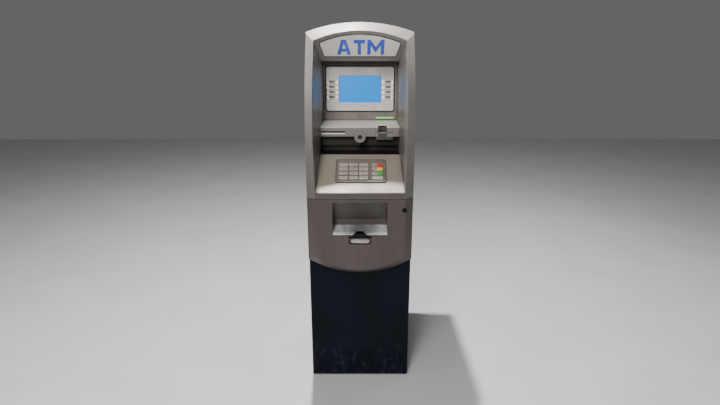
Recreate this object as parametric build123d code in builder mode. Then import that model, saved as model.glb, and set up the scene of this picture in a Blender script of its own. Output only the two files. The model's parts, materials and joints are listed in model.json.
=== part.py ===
from build123d import *
import os
from math import atan2, cos, degrees, hypot, radians, sqrt

# A free-standing retail cash machine, in millimetres. The origin is on the floor under the
# middle of the machine, +Z is up and the front faces -Y. A steel vault carries an upper cabinet.
# The grey upper front, the vault door and the cover on the vault door all open on the left.

os.makedirs("parts", exist_ok=True)

# ---- Overall sizes ----
WIDTH = 405.0
DEPTH = 580.0
VAULT_HEIGHT = 800.0
HALF = WIDTH / 2
FRONT = -DEPTH / 2
BACK = DEPTH / 2

# ---- Walls and gaps ----
VAULT_WALL = 6.0
SHELL_WALL = 3.0
PLATE = 3.0
PANEL_GAP = 2.0  # between a door and the body it closes on
FIT_GAP = 0.5  # round a piece that sits in an opening
SEAM = 6.0  # between the vault's top and the upper front

# ---- Front bevel and the leaning upper front ----
BEVEL_WIDTH = 30.5
BEVEL_DEPTH = 20.0
UPRIGHT_HEIGHT = 150.0  # upright stretch of the upper front, above the vault
LEAN_RADIUS = 770.0
ARCH_RISE = 36.0  # of the top arch, from its corners to its middle
TOP_BEVEL = 32.0
HINGE_REACH = 235.0  # from the front face back to the upper hinge line

# ---- Customer recess ----
RECESS_STEP = 14.0  # the recess is this much narrower at its break line than at the front
DECK_RUN = 158.0  # of the sloping keypad deck, front to back
DECK_RISE = 115.0
DECK_LIP = 24.0  # upright strip under the deck's front edge
BREAK_LEAN = 102.0  # run of the side walls' break line, from the deck to the ceiling
SCOOP_DEPTH = 100.0  # hollow behind the deck, under the shelf
SHELF_DROP = 66.0  # from the deck's rear edge up to the shelf's underside
SHELF_HEIGHT = 38.0
SHELF_OVERHANG = 26.0  # the shelf's front edge, behind the deck's rear edge
SCREEN_HEIGHT = 233.0  # of the screen surround
SCREEN_LEAN = 16.0
SHELF_DEPTH = 190.0
SCREEN_GAP = 7.0  # between the shelf and the screen surround
CEILING_GAP = 13.0  # between the surround's top and the recess's ceiling
HEADER_RISE = 74.0  # from the ceiling to the ends of the header's arch

# ---- Heights and places worked out from those ----
UPPER_BASE = VAULT_HEIGHT + SEAM
BREAK_Y = FRONT + DECK_RUN
DECK_FRONT_Z = UPPER_BASE + DECK_LIP
DECK_REAR_Z = DECK_FRONT_Z + DECK_RISE
SHELF_Z = DECK_REAR_Z + SHELF_DROP
SHELF_TOP = SHELF_Z + SHELF_HEIGHT
SHELF_FRONT = BREAK_Y + SHELF_OVERHANG
SHELF_REAR = SHELF_FRONT + SHELF_DEPTH
SCREEN_BASE = SHELF_TOP + SCREEN_GAP
CEILING = SCREEN_BASE + SCREEN_HEIGHT + CEILING_GAP
BREAK_RISE = CEILING - DECK_REAR_Z
HEIGHT = CEILING + HEADER_RISE + ARCH_RISE + TOP_BEVEL
LEAN_START = VAULT_HEIGHT + UPRIGHT_HEIGHT
OPENING_HALF = HALF - BEVEL_WIDTH
RECESS_HALF = OPENING_HALF - RECESS_STEP
UPPER_SPLIT = FRONT + HINGE_REACH

# ---- Door hinges: barrels in a V groove at the left front corners ----
HINGE_INSET = 4.5
BARREL_R = 4.0
PIN_R = 2.0
PIN_CLEAR = 0.05  # radial running fit
GROOVE = 10.0  # leg of the chamfers that leave the groove
KNUCKLE_GAP = 0.6  # between two knuckles, end to end

HINGE_X = -HALF + HINGE_INSET
DOOR_SETBACK = 45.0  # the vault door's face, behind the cover's
DOOR_THICK = 30.0
DOOR_FACE = FRONT + DOOR_SETBACK
VAULT_SPLIT = DOOR_FACE + DOOR_THICK + PANEL_GAP / 2


def lean_y(z, inset=0.0):
    """Y of the upper front's leaning face at height z, set in by inset."""
    return FRONT + LEAN_RADIUS - sqrt((LEAN_RADIUS - inset) ** 2 - (z - LEAN_START) ** 2)


# The planes that the inclined pieces are drawn on. In each, X runs to the right and Y up the
# incline, and the normal faces the customer.
deck_angle = degrees(atan2(DECK_RISE, DECK_RUN))
deck_plane = Plane(
    origin=(0, FRONT + DECK_RUN / 2, DECK_FRONT_Z + DECK_RISE / 2),
    x_dir=(1, 0, 0),
    z_dir=(0, -DECK_RISE, DECK_RUN),
)
SCREEN_FOOT = SHELF_REAR - PLATE
screen_plane = Plane(
    origin=(0, SCREEN_FOOT + SCREEN_LEAN / 2, SCREEN_BASE + SCREEN_HEIGHT / 2),
    x_dir=(1, 0, 0),
    z_dir=(0, -SCREEN_HEIGHT, SCREEN_LEAN),
)
break_plane = Plane(
    origin=(0, BREAK_Y + BREAK_LEAN / 2, DECK_REAR_Z + BREAK_RISE / 2),
    x_dir=(1, 0, 0),
    z_dir=(0, -BREAK_RISE, BREAK_LEAN),
)


def arch_region(half, rise, reach, drop):
    """Sketch of everything under an arch through (0, 0) that falls by rise at +-half, out to +-reach."""
    radius = (half**2 + rise**2) / (2 * rise)
    edge = radius - sqrt(radius**2 - reach**2)
    with BuildSketch() as region:
        with BuildLine():
            ThreePointArc((-reach, -edge), (0, 0), (reach, -edge))
            Polyline((reach, -edge), (reach, -drop), (-reach, -drop), (-reach, -edge))
        make_face()
    return region.sketch


def arch_trim(inset, rear):
    """Everything under the upper front's arched top, with its bevel, back to y = rear."""
    inner_z = HEIGHT - TOP_BEVEL
    inner = Vector(0, lean_y(inner_z) + inset / 2, inner_z - inset)
    outer = Vector(0, lean_y(HEIGHT) + BEVEL_DEPTH + inset / 2, HEIGHT - inset)
    up = Vector(0, lean_y(inner_z) - lean_y(inner_z - ARCH_RISE), ARCH_RISE).normalized()
    lead = 0.4  # share of the bevel by which it runs on in front of the face
    start = inner - (outer - inner) * lead
    reach = HALF + 6
    with BuildPart() as trim:
        for middle, half in ((start, OPENING_HALF - lead * BEVEL_WIDTH), (outer, HALF)):
            with BuildSketch(Plane(origin=middle, x_dir=(1, 0, 0), z_dir=(0, -up.Z, up.Y))):
                add(arch_region(half, ARCH_RISE / up.Z, reach, HEIGHT))
        loft(ruled=True)
        with BuildSketch(Plane(origin=outer, x_dir=(1, 0, 0), z_dir=(0, -up.Z, up.Y))):
            add(arch_region(HALF, ARCH_RISE / up.Z, reach, HEIGHT))
        extrude(amount=rear + 2 * DEPTH, dir=(0, 1, 0))
    return trim.part


def upper_block(inset, rear):
    """Outer form of the upper front, set in by inset, from its leaning face back to y = rear."""
    half = HALF - inset
    inner = OPENING_HALF - 0.3 * inset
    base = UPPER_BASE + inset
    top = HEIGHT + 40
    far = rear + 2 * BEVEL_DEPTH
    middle = (LEAN_START + top) / 2
    with BuildPart() as block:
        with BuildSketch(Plane.YZ.offset(-inner)):
            with BuildLine():
                start, end = (FRONT + inset, LEAN_START), (lean_y(top, inset), top)
                ThreePointArc(start, (lean_y(middle, inset), middle), end)
                Polyline(end, (far, top), (far, base), (FRONT + inset, base), start)
            make_face()
        extrude(amount=2 * inner)
        for side in (1, -1):
            flank = block.faces().sort_by(Axis.X)[-1 if side > 0 else 0]
            run = half - inner
            slant = run * BEVEL_DEPTH / BEVEL_WIDTH
            extrude(flank, amount=hypot(run, slant), dir=Vector(side * run, slant, 0).normalized())
        split(bisect_by=Plane.XZ.offset(-rear), keep=Keep.TOP)
        add(arch_trim(inset, rear), mode=Mode.INTERSECT)
    return block.part


def header_void(inset):
    """Funnel from the arched front opening to the ceiling's straight rear edge, set in by inset."""
    lead = 0.15  # share of the funnel by which it runs on in front of the face
    arch_z = HEIGHT - TOP_BEVEL
    middle = Vector(0, lean_y(arch_z), arch_z)
    rear = Vector(0, BREAK_Y + BREAK_LEAN, CEILING)
    up = (middle - Vector(0, lean_y(CEILING), CEILING)).normalized()
    start = middle + (middle - rear) * lead - Vector(0, 0, inset)
    half = OPENING_HALF + lead * RECESS_STEP - inset
    rear_half = RECESS_HALF - inset
    low = 20.0  # overlap with the recess under the ceiling
    with BuildPart() as void:
        with BuildSketch(Plane(origin=start, x_dir=(1, 0, 0), z_dir=(0, -up.Z, up.Y))):
            add(arch_region(half, ARCH_RISE * (1 + lead) / up.Z, half, (arch_z - CEILING) * 1.3 + low))
        with BuildSketch(Plane(origin=rear - Vector(0, 0, inset), x_dir=(1, 0, 0), z_dir=(0, -1, 0))):
            with BuildLine():
                Polyline((-rear_half, 0), (rear_half, 0), (rear_half, -low), (-rear_half, -low), close=True)
            make_face()
        loft(ruled=True)
    return void.part


def recess_core(inset, low, high, rear):
    """The customer recess between its flared side walls, set in by inset and cut to a height range."""
    half = RECESS_HALF - inset
    reach = DEPTH
    lean = hypot(BREAK_LEAN, BREAK_RISE)
    flare = RECESS_STEP / ((DECK_RUN + 7) * BREAK_RISE / lean)
    span = 4 * lean
    with BuildPart() as core:
        with BuildSketch(break_plane):
            Rectangle(2 * half, span)
        with BuildSketch(break_plane.offset(reach)):
            Rectangle(2 * (half + flare * reach), span)
        loft(ruled=True)
        with BuildSketch(break_plane):
            Rectangle(2 * half, span)
        extrude(amount=-reach)
        with Locations((0, rear - DEPTH, (low + high) / 2)):
            Box(2 * WIDTH, 2 * DEPTH, high - low, mode=Mode.INTERSECT)
    return core.part


def lower_block(inset, rear):
    """Outer form of the lower cover, set in by inset, with its bevel, back to y = rear."""
    top = COVER_TOP - inset
    outline = (
        (FRONT + BEVEL_DEPTH + 0.5 * inset, HALF - inset, COVER_CORNER_Z + inset, COVER_SAG),
        (FRONT + inset, OPENING_HALF - 0.4 * inset, COVER_CORNER_Z + BEVEL_RISE + 0.4 * inset, COVER_SAG),
    )
    with BuildPart() as block:
        for y, half, corner, sag in outline:
            with BuildSketch(Plane(origin=(0, y, 0), x_dir=(1, 0, 0), z_dir=(0, -1, 0))):
                with BuildLine():
                    ThreePointArc((-half, corner), (0, corner - sag), (half, corner))
                    Polyline((half, corner), (half, top), (-half, top), (-half, corner))
                make_face()
        loft(ruled=True)
        extrude(block.faces().sort_by(Axis.Y)[-1], amount=rear - outline[0][0], dir=(0, 1, 0))
    return block.part


def groove_cut(axis_y, toward, low, high):
    """Prism that chamfers a body's left edge beside a hinge: toward is -1 for the leaf in front."""
    edge = axis_y + toward * PANEL_GAP / 2
    over = 2.0
    with BuildPart() as cut:
        with BuildSketch(Plane.XY.offset(low)):
            with BuildLine():
                Polyline(
                    (-HALF - over, edge + toward * (GROOVE + over)),
                    (-HALF + GROOVE + over, edge - toward * over),
                    (-HALF - over, edge - toward * over),
                    close=True,
                )
            make_face()
        extrude(amount=high - low)
    return cut.part


def knuckle_spans(middles, moving):
    """Height ranges of the knuckles of hinges centred at middles, for the moving or the fixed leaf."""
    if moving:
        return [(z - KNUCKLE / 2, z + KNUCKLE / 2) for z in middles]
    near = KNUCKLE / 2 + KNUCKLE_GAP
    return [(z + s * near - (KNUCKLE if s < 0 else 0), z + s * near + (KNUCKLE if s > 0 else 0))
            for z in middles for s in (-1, 1)]


def hinge_leaf(axis_y, spans, toward):
    """Knuckles round the hinge axis, each with a leaf into the body in front (-1) or behind (1)."""
    reach = GROOVE + 5
    with BuildPart() as leaf:
        for low, high in spans:
            with Locations((HINGE_X, axis_y, (low + high) / 2)):
                Cylinder(BARREL_R, high - low)
            with Locations((HINGE_X, axis_y + toward * reach / 2, (low + high) / 2)):
                Box(2 * BARREL_R, reach, high - low)
        for low, high in spans:
            with Locations((HINGE_X, axis_y, (low + high) / 2)):
                Cylinder(PIN_R + PIN_CLEAR, high - low + 1, mode=Mode.SUBTRACT)
    return leaf.part


def slab(x0, x1, y0, y1, z0, z1, mode=Mode.ADD):
    """Box between two corners, added to or cut from the part being built."""
    with Locations(((x0 + x1) / 2, (y0 + y1) / 2, (z0 + z1) / 2)):
        Box(x1 - x0, y1 - y0, z1 - z0, mode=mode)


def rod_x(x0, x1, y, z, radius, mode=Mode.ADD):
    """Round bar along X."""
    with Locations(Location(((x0 + x1) / 2, y, z), (0, 90, 0))):
        Cylinder(radius, x1 - x0, mode=mode)


def rod_y(x, y0, y1, z, radius, mode=Mode.ADD):
    """Round bar along Y."""
    with Locations(Location((x, (y0 + y1) / 2, z), (90, 0, 0))):
        Cylinder(radius, y1 - y0, mode=mode)


def save(part, name):
    """Label a finished piece and write its STEP."""
    part.label = name
    export_step(part, f"parts/{name}.step")


# ---- Lower cover and what it carries ----
COVER_TOP = VAULT_HEIGHT + 4
COVER_CORNER_Z = COVER_TOP - 249
COVER_SAG = 58.0
BEVEL_RISE = 17.0
COVER_REAR = DOOR_FACE - PANEL_GAP
POCKET_HALF = 105.0
POCKET_TOP = COVER_TOP - 14
POCKET_BASE = COVER_TOP - 144
POCKET_BACK = FRONT + 70
TRAY_REAR_Z = POCKET_BASE + 19
TRAY_FRONT_Z = POCKET_BASE + 8
TRAY_THICK = 2.0
NOTCH_R, NOTCH_DROP = 35.5, 22.0  # finger notch in the lip, centred NOTCH_DROP under the pocket
SCOOP_LONG, SCOOP_TALL, SCOOP_IN = 90.0, 24.0, 12.0
SCOOP_Z = COVER_TOP - 170
SLOT_HALF, SLOT_TALL, SLOT_IN = 45.0, 9.0, 14.0
SLOT_Z = POCKET_BASE - 8
LOCK_X, LOCK_Z, LOCK_R = OPENING_HALF - 3, COVER_TOP - 43, 10.0
LOCK_LENGTH = 28.0
PLUG_R = 6.0
CAM_LENGTH, CAM_WIDTH, CAM_THICK = 21.0, 9.0, 3.0
COVER_HINGE_X = -HALF + 2.0
COVER_HINGE_Y = COVER_REAR - 1.0
COVER_BARREL_R = 2.0
COVER_PIN_R = 1.0
KNUCKLE = 30.0
COVER_HINGES = (COVER_TOP - 60, COVER_TOP - 200)

pocket_outline = (
    (FRONT - 1, POCKET_TOP),
    (FRONT + 12, POCKET_TOP),
    (POCKET_BACK, TRAY_REAR_Z + 24),
    (POCKET_BACK, POCKET_BASE),
    (FRONT - 1, POCKET_BASE),
)
front_plane = Plane(origin=(0, FRONT, 0), x_dir=(1, 0, 0), z_dir=(0, -1, 0))

with BuildPart() as lower_fascia:
    add(lower_block(0, COVER_REAR))
    add(lower_block(SHELL_WALL, COVER_REAR + 5), mode=Mode.SUBTRACT)
    # The cash pocket's walls, then the finger slot's and the thumb scoop's, behind the front.
    with BuildSketch(Plane.YZ.offset(-POCKET_HALF - PLATE)):
        Polygon(*pocket_outline, align=None)
        offset(amount=PLATE, kind=Kind.INTERSECTION)
    extrude(amount=2 * (POCKET_HALF + PLATE))
    slab(-SLOT_HALF - PLATE, SLOT_HALF + PLATE, FRONT + 1, FRONT + SLOT_IN + PLATE,
         SLOT_Z - SLOT_TALL / 2 - PLATE, SLOT_Z + SLOT_TALL / 2 + PLATE)
    with BuildSketch(front_plane.offset(-1)):
        with Locations((0, SCOOP_Z)):
            SlotOverall(SCOOP_LONG + 2 * PLATE, SCOOP_TALL + 2 * PLATE)
    extrude(amount=-(SCOOP_IN + PLATE - 1))
    slab(-HALF, HALF, FRONT - 20, FRONT, COVER_CORNER_Z - 100, COVER_TOP + 20, mode=Mode.SUBTRACT)
    with BuildSketch(Plane.YZ.offset(-POCKET_HALF)):
        Polygon(*pocket_outline, align=None)
    extrude(amount=2 * POCKET_HALF, mode=Mode.SUBTRACT)
    slab(-SLOT_HALF, SLOT_HALF, FRONT - 1, FRONT + SLOT_IN,
         SLOT_Z - SLOT_TALL / 2, SLOT_Z + SLOT_TALL / 2, mode=Mode.SUBTRACT)
    # The finger notch runs on from the tray's lip through the pocket's floor into the slot.
    with BuildSketch(front_plane):
        with Locations((0, POCKET_BASE - NOTCH_DROP)):
            Circle(NOTCH_R)
        with Locations((0, SLOT_Z)):
            Rectangle(2 * SLOT_HALF, NOTCH_R, align=(Align.CENTER, Align.MIN), mode=Mode.INTERSECT)
    extrude(amount=-SLOT_IN, mode=Mode.SUBTRACT)
    with BuildSketch(front_plane):
        with Locations((0, SCOOP_Z)):
            SlotOverall(SCOOP_LONG, SCOOP_TALL)
    extrude(amount=-SCOOP_IN, taper=12, mode=Mode.SUBTRACT)
    rod_y(LOCK_X, FRONT - 1, FRONT + 40, LOCK_Z, LOCK_R + 0.1, mode=Mode.SUBTRACT)
    # Cover hinge: notches for the door's knuckles, then this cover's own knuckles.
    for z in COVER_HINGES:
        slab(-HALF - 1, -HALF + 8, COVER_HINGE_Y - 4, COVER_REAR + 1,
             z - 1.5 * KNUCKLE - 2, z + 1.5 * KNUCKLE + 2, mode=Mode.SUBTRACT)
        with Locations((COVER_HINGE_X, COVER_HINGE_Y, z)):
            Cylinder(COVER_BARREL_R, KNUCKLE)
        slab(-HALF, -HALF + SHELL_WALL, COVER_HINGE_Y - 8, COVER_HINGE_Y,
             z - KNUCKLE / 2, z + KNUCKLE / 2)
        with Locations((COVER_HINGE_X, COVER_HINGE_Y, z)):
            Cylinder(COVER_PIN_R + PIN_CLEAR, 2 * KNUCKLE, mode=Mode.SUBTRACT)
save(lower_fascia.part, "lower_fascia")

TRAY_HALF = POCKET_HALF - FIT_GAP
with BuildPart() as cash_tray:
    # A bent plate: the note bed slopes down to the front, where a lip turns over the cover's edge.
    with BuildSketch(Plane.YZ.offset(-TRAY_HALF)):
        with BuildLine():
            Polyline(
                (POCKET_BACK - 1.5, TRAY_REAR_Z),
                (FRONT + 9, TRAY_FRONT_Z + 2),
                (FRONT + 1 + TRAY_THICK / 2, TRAY_FRONT_Z - 3),
                (FRONT + TRAY_THICK / 2, POCKET_BASE + 1.5),
            )
        trace(line_width=TRAY_THICK)
    extrude(amount=2 * TRAY_HALF)
    # Support ribs stand the bed on the pocket's floor.
    for x in (-70, 70):
        with BuildSketch(Plane.YZ.offset(x - 2)):
            Polygon((FRONT + 14, POCKET_BASE), (POCKET_BACK - 6, POCKET_BASE),
                    (POCKET_BACK - 6, TRAY_REAR_Z - 1), (FRONT + 14, TRAY_FRONT_Z + 2), align=None)
        extrude(amount=4)
    rod_y(0, FRONT - 1, FRONT + 20, POCKET_BASE - NOTCH_DROP, NOTCH_R, mode=Mode.SUBTRACT)
save(cash_tray.part, "cash_tray")

with BuildPart() as key_lock:
    rod_y(LOCK_X, FRONT, FRONT + LOCK_LENGTH, LOCK_Z, LOCK_R)
    # Clamp nut behind the cover's front.
    with BuildSketch(front_plane.offset(-14)):
        with Locations((LOCK_X, LOCK_Z)):
            RegularPolygon(LOCK_R + 3, 6)
    extrude(amount=-6)
    rod_y(LOCK_X, FRONT - 1, FRONT + 60, LOCK_Z, PLUG_R + PIN_CLEAR, mode=Mode.SUBTRACT)
save(key_lock.part, "key_lock")

CAM_Y = FRONT + LOCK_LENGTH + 0.5
with BuildPart() as lock_cam:
    rod_y(LOCK_X, FRONT + 1, CAM_Y + CAM_THICK, LOCK_Z, PLUG_R)
    slab(LOCK_X - CAM_WIDTH / 2, LOCK_X + CAM_WIDTH / 2, CAM_Y, CAM_Y + CAM_THICK,
         LOCK_Z - CAM_LENGTH, LOCK_Z)
    slab(LOCK_X - 0.8, LOCK_X + 0.8, FRONT, FRONT + 8, LOCK_Z - 3.5, LOCK_Z + 3.5, mode=Mode.SUBTRACT)
save(lock_cam.part, "lock_cam")

# ---- Vault door ----
VAULT_HINGES = (80.0, VAULT_HEIGHT / 2 - 60, VAULT_HEIGHT - 60)
DOOR_BASE = 4.0
DOOR_TOP = VAULT_HEIGHT - 2
DOOR_EDGE = 5.0  # chamfer round the door's face
DOOR_SKIN = 6.0
DOOR_RIM = 12.0
WINDOW_HALF = POCKET_HALF + PLATE + 5
WINDOW_BASE = POCKET_BASE - PLATE - 6
WINDOW_TOP = DOOR_TOP - 3
DIAL_X, DIAL_R, DIAL_THICK = 120.0, 26.0, 14.0
HANDLE_X, HANDLE_R = -125.0, 14.0
DIAL_Z = COVER_TOP - 194
DIAL_SHAFT_R, HANDLE_SHAFT_R = 5.0, 6.0
BOLT_R, BOLT_TRAVEL = 6.0, 18.0
BOLT_Y = VAULT_SPLIT + PANEL_GAP / 2 + 14
BOLT_TIP = HALF - VAULT_WALL - BOLT_TRAVEL - 6
BOLT_ZS = (120.0, VAULT_HEIGHT / 2 - 40, VAULT_HEIGHT - 190)
GUIDE_X0, GUIDE_X1 = BOLT_TIP - 20, BOLT_TIP - 4
BAR_X0, BAR_X1 = BOLT_TIP - 52, BOLT_TIP - 42
CATCH_Z = LOCK_Z
DOOR_BACK = VAULT_SPLIT - PANEL_GAP / 2

with BuildPart() as vault_door:
    slab(-HALF, HALF, DOOR_FACE, DOOR_BACK, DOOR_BASE, DOOR_TOP)
    face_edges = vault_door.faces().sort_by(Axis.Y)[0].edges()
    chamfer(face_edges, length=DOOR_EDGE)
    add(groove_cut(VAULT_SPLIT, -1, 0, VAULT_HEIGHT), mode=Mode.SUBTRACT)
    # The door is a deep pan: hollow behind its skin, with a rim all round.
    slab(-HALF + 24, HALF - DOOR_RIM, DOOR_FACE + DOOR_SKIN, DOOR_BACK + 1,
         DOOR_BASE + DOOR_RIM, WINDOW_BASE - DOOR_RIM, mode=Mode.SUBTRACT)
    slab(-WINDOW_HALF, WINDOW_HALF, DOOR_FACE - 1, DOOR_BACK + 1, WINDOW_BASE, WINDOW_TOP,
         mode=Mode.SUBTRACT)
    # Lock case, bolt guides and the bearings of the dial and the handle.
    for x, radius in ((DIAL_X, 22), (HANDLE_X, 16)):
        rod_y(x, DOOR_FACE + 1, DOOR_BACK, DIAL_Z, radius)
    for z in BOLT_ZS:
        slab(GUIDE_X0, GUIDE_X1, DOOR_FACE + 1, BOLT_Y + 10, z - 12, z + 12)
        rod_x(GUIDE_X0 - 1, GUIDE_X1 + 1, BOLT_Y, z, BOLT_R + PIN_CLEAR, mode=Mode.SUBTRACT)
    rod_y(DIAL_X, DOOR_FACE - 1, DOOR_BACK + 1, DIAL_Z, DIAL_SHAFT_R + PIN_CLEAR, mode=Mode.SUBTRACT)
    rod_y(HANDLE_X, DOOR_FACE - 1, DOOR_BACK + 1, DIAL_Z, HANDLE_SHAFT_R + PIN_CLEAR,
          mode=Mode.SUBTRACT)
    # Catch that the cover's cam turns behind.
    catch_x = LOCK_X + CAM_LENGTH + 2
    slab(catch_x, catch_x + 4, CAM_Y - 6, DOOR_FACE + 1, CATCH_Z - 7, CATCH_Z + 7)
    slab(LOCK_X + LOCK_R + 4, catch_x + 4, CAM_Y - 6, CAM_Y - 3, CATCH_Z - 7, CATCH_Z + 7)
    # Knuckles of the vault hinge, and of the cover's hinge in front.
    add(hinge_leaf(VAULT_SPLIT, knuckle_spans(VAULT_HINGES, True), -1))
    for z in VAULT_HINGES:
        with Locations((HINGE_X, VAULT_SPLIT, z)):
            Cylinder(PIN_R + PIN_CLEAR, KNUCKLE + 1, mode=Mode.SUBTRACT)
    for z in COVER_HINGES:
        for side in (-1, 1):
            middle = z + side * (KNUCKLE + KNUCKLE_GAP)
            with Locations((COVER_HINGE_X, COVER_HINGE_Y, middle)):
                Cylinder(COVER_BARREL_R, KNUCKLE)
            slab(COVER_HINGE_X - 0.5, COVER_HINGE_X + 2, COVER_HINGE_Y, DOOR_FACE + 9,
                 middle - KNUCKLE / 2, middle + KNUCKLE / 2)
            with Locations((COVER_HINGE_X, COVER_HINGE_Y, middle)):
                Cylinder(COVER_PIN_R + PIN_CLEAR, KNUCKLE + 1, mode=Mode.SUBTRACT)
save(vault_door.part, "vault_door")

with BuildPart() as cover_hinge_pins:
    for z in COVER_HINGES:
        with Locations((COVER_HINGE_X, COVER_HINGE_Y, z)):
            Cylinder(COVER_PIN_R, 3 * KNUCKLE)
save(cover_hinge_pins.part, "cover_hinge_pins")

with BuildPart() as combination_dial:
    rod_y(DIAL_X, DOOR_FACE - 1, DOOR_BACK - 2, DIAL_Z, DIAL_SHAFT_R)
    rod_y(DIAL_X, DOOR_FACE - 1 - DIAL_THICK * 0.4, DOOR_FACE - 1, DIAL_Z, DIAL_R)
    rod_y(DIAL_X, DOOR_FACE - 1 - DIAL_THICK, DOOR_FACE - 1, DIAL_Z, DIAL_R * 0.6)
    with BuildSketch(Plane(origin=(DIAL_X, DOOR_FACE - 1 - DIAL_THICK * 0.4, DIAL_Z),
                           x_dir=(1, 0, 0), z_dir=(0, -1, 0))):
        with PolarLocations(DIAL_R * 0.62, 16):
            Circle(2)
    extrude(amount=DIAL_THICK, mode=Mode.SUBTRACT)
save(combination_dial.part, "combination_dial")

HANDLE_LENGTH = 42.0
with BuildPart() as bolt_handle:
    rod_y(HANDLE_X, DOOR_FACE - 14, DOOR_BACK - 2, DIAL_Z, HANDLE_SHAFT_R)
    rod_y(HANDLE_X, DOOR_FACE - 14, DOOR_FACE - 1, DIAL_Z, HANDLE_R)
    with BuildSketch(Plane(origin=(HANDLE_X, DOOR_FACE - 6, DIAL_Z - HANDLE_LENGTH / 2),
                           x_dir=(1, 0, 0), z_dir=(0, -1, 0))):
        SlotOverall(HANDLE_LENGTH + 16, 14, rotation=90)
    extrude(amount=10)
save(bolt_handle.part, "bolt_handle")

with BuildPart() as lock_bolts:
    slab(BAR_X0, BAR_X1, BOLT_Y - 7, BOLT_Y + 7, BOLT_ZS[0] - 14, BOLT_ZS[-1] + 14)
    for z in BOLT_ZS:
        rod_x(BAR_X0 + 2, BOLT_TIP, BOLT_Y, z, BOLT_R)
save(lock_bolts.part, "lock_bolts")

# ---- Vault body and what stands in it ----
BODY_FRONT = VAULT_SPLIT + PANEL_GAP / 2
DISPENSER_SHELF = VAULT_HEIGHT - 240
CASSETTE_SHELF = DISPENSER_SHELF - 260
ANCHOR_X, ANCHOR_Y, ANCHOR_R = 280.0, 340.0, 7.0
ANCHOR_MIDDLE = (BODY_FRONT + BACK) / 2
CABLE_R = 20.0
CABLE_X, CABLE_Y = -HALF + 42, BACK - 90

with BuildPart() as vault_body:
    slab(-HALF, HALF, BODY_FRONT, BACK, 0, VAULT_HEIGHT)
    fillet(vault_body.edges().filter_by(Axis.Z).group_by(Axis.Y)[-1], radius=4)
    slab(-HALF + VAULT_WALL, HALF - VAULT_WALL, BODY_FRONT - 1, BACK - VAULT_WALL,
         VAULT_WALL, VAULT_HEIGHT - VAULT_WALL, mode=Mode.SUBTRACT)
    add(groove_cut(VAULT_SPLIT, 1, -1, VAULT_HEIGHT + 1), mode=Mode.SUBTRACT)
    add(hinge_leaf(VAULT_SPLIT, knuckle_spans(VAULT_HINGES, False), 1))
    # Strike flange that the bolts slide behind, and the two inner shelves.
    slab(BOLT_TIP + 4, HALF - VAULT_WALL + 1, BODY_FRONT + 1, BOLT_Y - BOLT_R - 2,
         VAULT_WALL - 1, VAULT_HEIGHT - VAULT_WALL + 1)
    for z in (CASSETTE_SHELF, DISPENSER_SHELF):
        slab(-HALF + 1, HALF - 1, BODY_FRONT + 80, BACK - 1, z, z + PLATE)
    with Locations((0, ANCHOR_MIDDLE, 0)):
        with GridLocations(ANCHOR_X, ANCHOR_Y, 2, 2):
            Cylinder(ANCHOR_R, 3 * VAULT_WALL, mode=Mode.SUBTRACT)
    with Locations((CABLE_X, CABLE_Y, VAULT_HEIGHT)):
        Cylinder(CABLE_R, 3 * VAULT_WALL, mode=Mode.SUBTRACT)
save(vault_body.part, "vault_body")

NOSE_HALF = POCKET_HALF - 4
NOSE_FRONT = BODY_FRONT + 6
ROLLER_Y, ROLLER_Z, ROLLER_R = NOSE_FRONT + 22, DISPENSER_SHELF + 150, 14.0
ROLLER_SHAFT_R = 5.0
DISPENSER_TOP = VAULT_HEIGHT - VAULT_WALL - 10
with BuildPart() as cash_dispenser:
    slab(-138, 138, BODY_FRONT + 90, BACK - 60, DISPENSER_SHELF + PLATE, DISPENSER_TOP)
    fillet(cash_dispenser.edges().filter_by(Axis.Z), radius=6)
    slab(-NOSE_HALF, NOSE_HALF, NOSE_FRONT, BODY_FRONT + 91, ROLLER_Z - 34, DISPENSER_TOP - 4)
    slab(-NOSE_HALF + 6, NOSE_HALF - 6, NOSE_FRONT - 1, BODY_FRONT + 70, ROLLER_Z - 26,
         DISPENSER_TOP - 10, mode=Mode.SUBTRACT)
    rod_x(-NOSE_HALF - 1, NOSE_HALF + 1, ROLLER_Y, ROLLER_Z, ROLLER_SHAFT_R + PIN_CLEAR,
          mode=Mode.SUBTRACT)
    grip_y, grip_z = BODY_FRONT + 90, DISPENSER_SHELF + 60
    with Locations((-80, grip_y, grip_z), (80, grip_y, grip_z)):
        Box(60, 16, 70, mode=Mode.SUBTRACT)
save(cash_dispenser.part, "cash_dispenser")

with BuildPart() as feed_rollers:
    rod_x(-NOSE_HALF - 4, NOSE_HALF + 4, ROLLER_Y, ROLLER_Z, ROLLER_SHAFT_R)
    for x in (-66, -22, 22, 66):
        rod_x(x - 9, x + 9, ROLLER_Y, ROLLER_Z, ROLLER_R)
save(feed_rollers.part, "feed_rollers")

with BuildPart() as cash_cassette:
    cassette_z = CASSETTE_SHELF + PLATE
    slab(-110, 110, BODY_FRONT + 90, BACK - 70, cassette_z, cassette_z + 210)
    fillet(cash_cassette.edges().filter_by(Axis.Y), radius=8)
    slab(-110, 110, BODY_FRONT + 85, BODY_FRONT + 96, cassette_z + 70, cassette_z + 84)
    slab(-60, 60, BODY_FRONT + 62, BODY_FRONT + 91, cassette_z + 120, cassette_z + 132)
    slab(-50, 50, BODY_FRONT + 72, BODY_FRONT + 90, cassette_z + 119, cassette_z + 133, mode=Mode.SUBTRACT)
save(cash_cassette.part, "cash_cassette")

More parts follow.
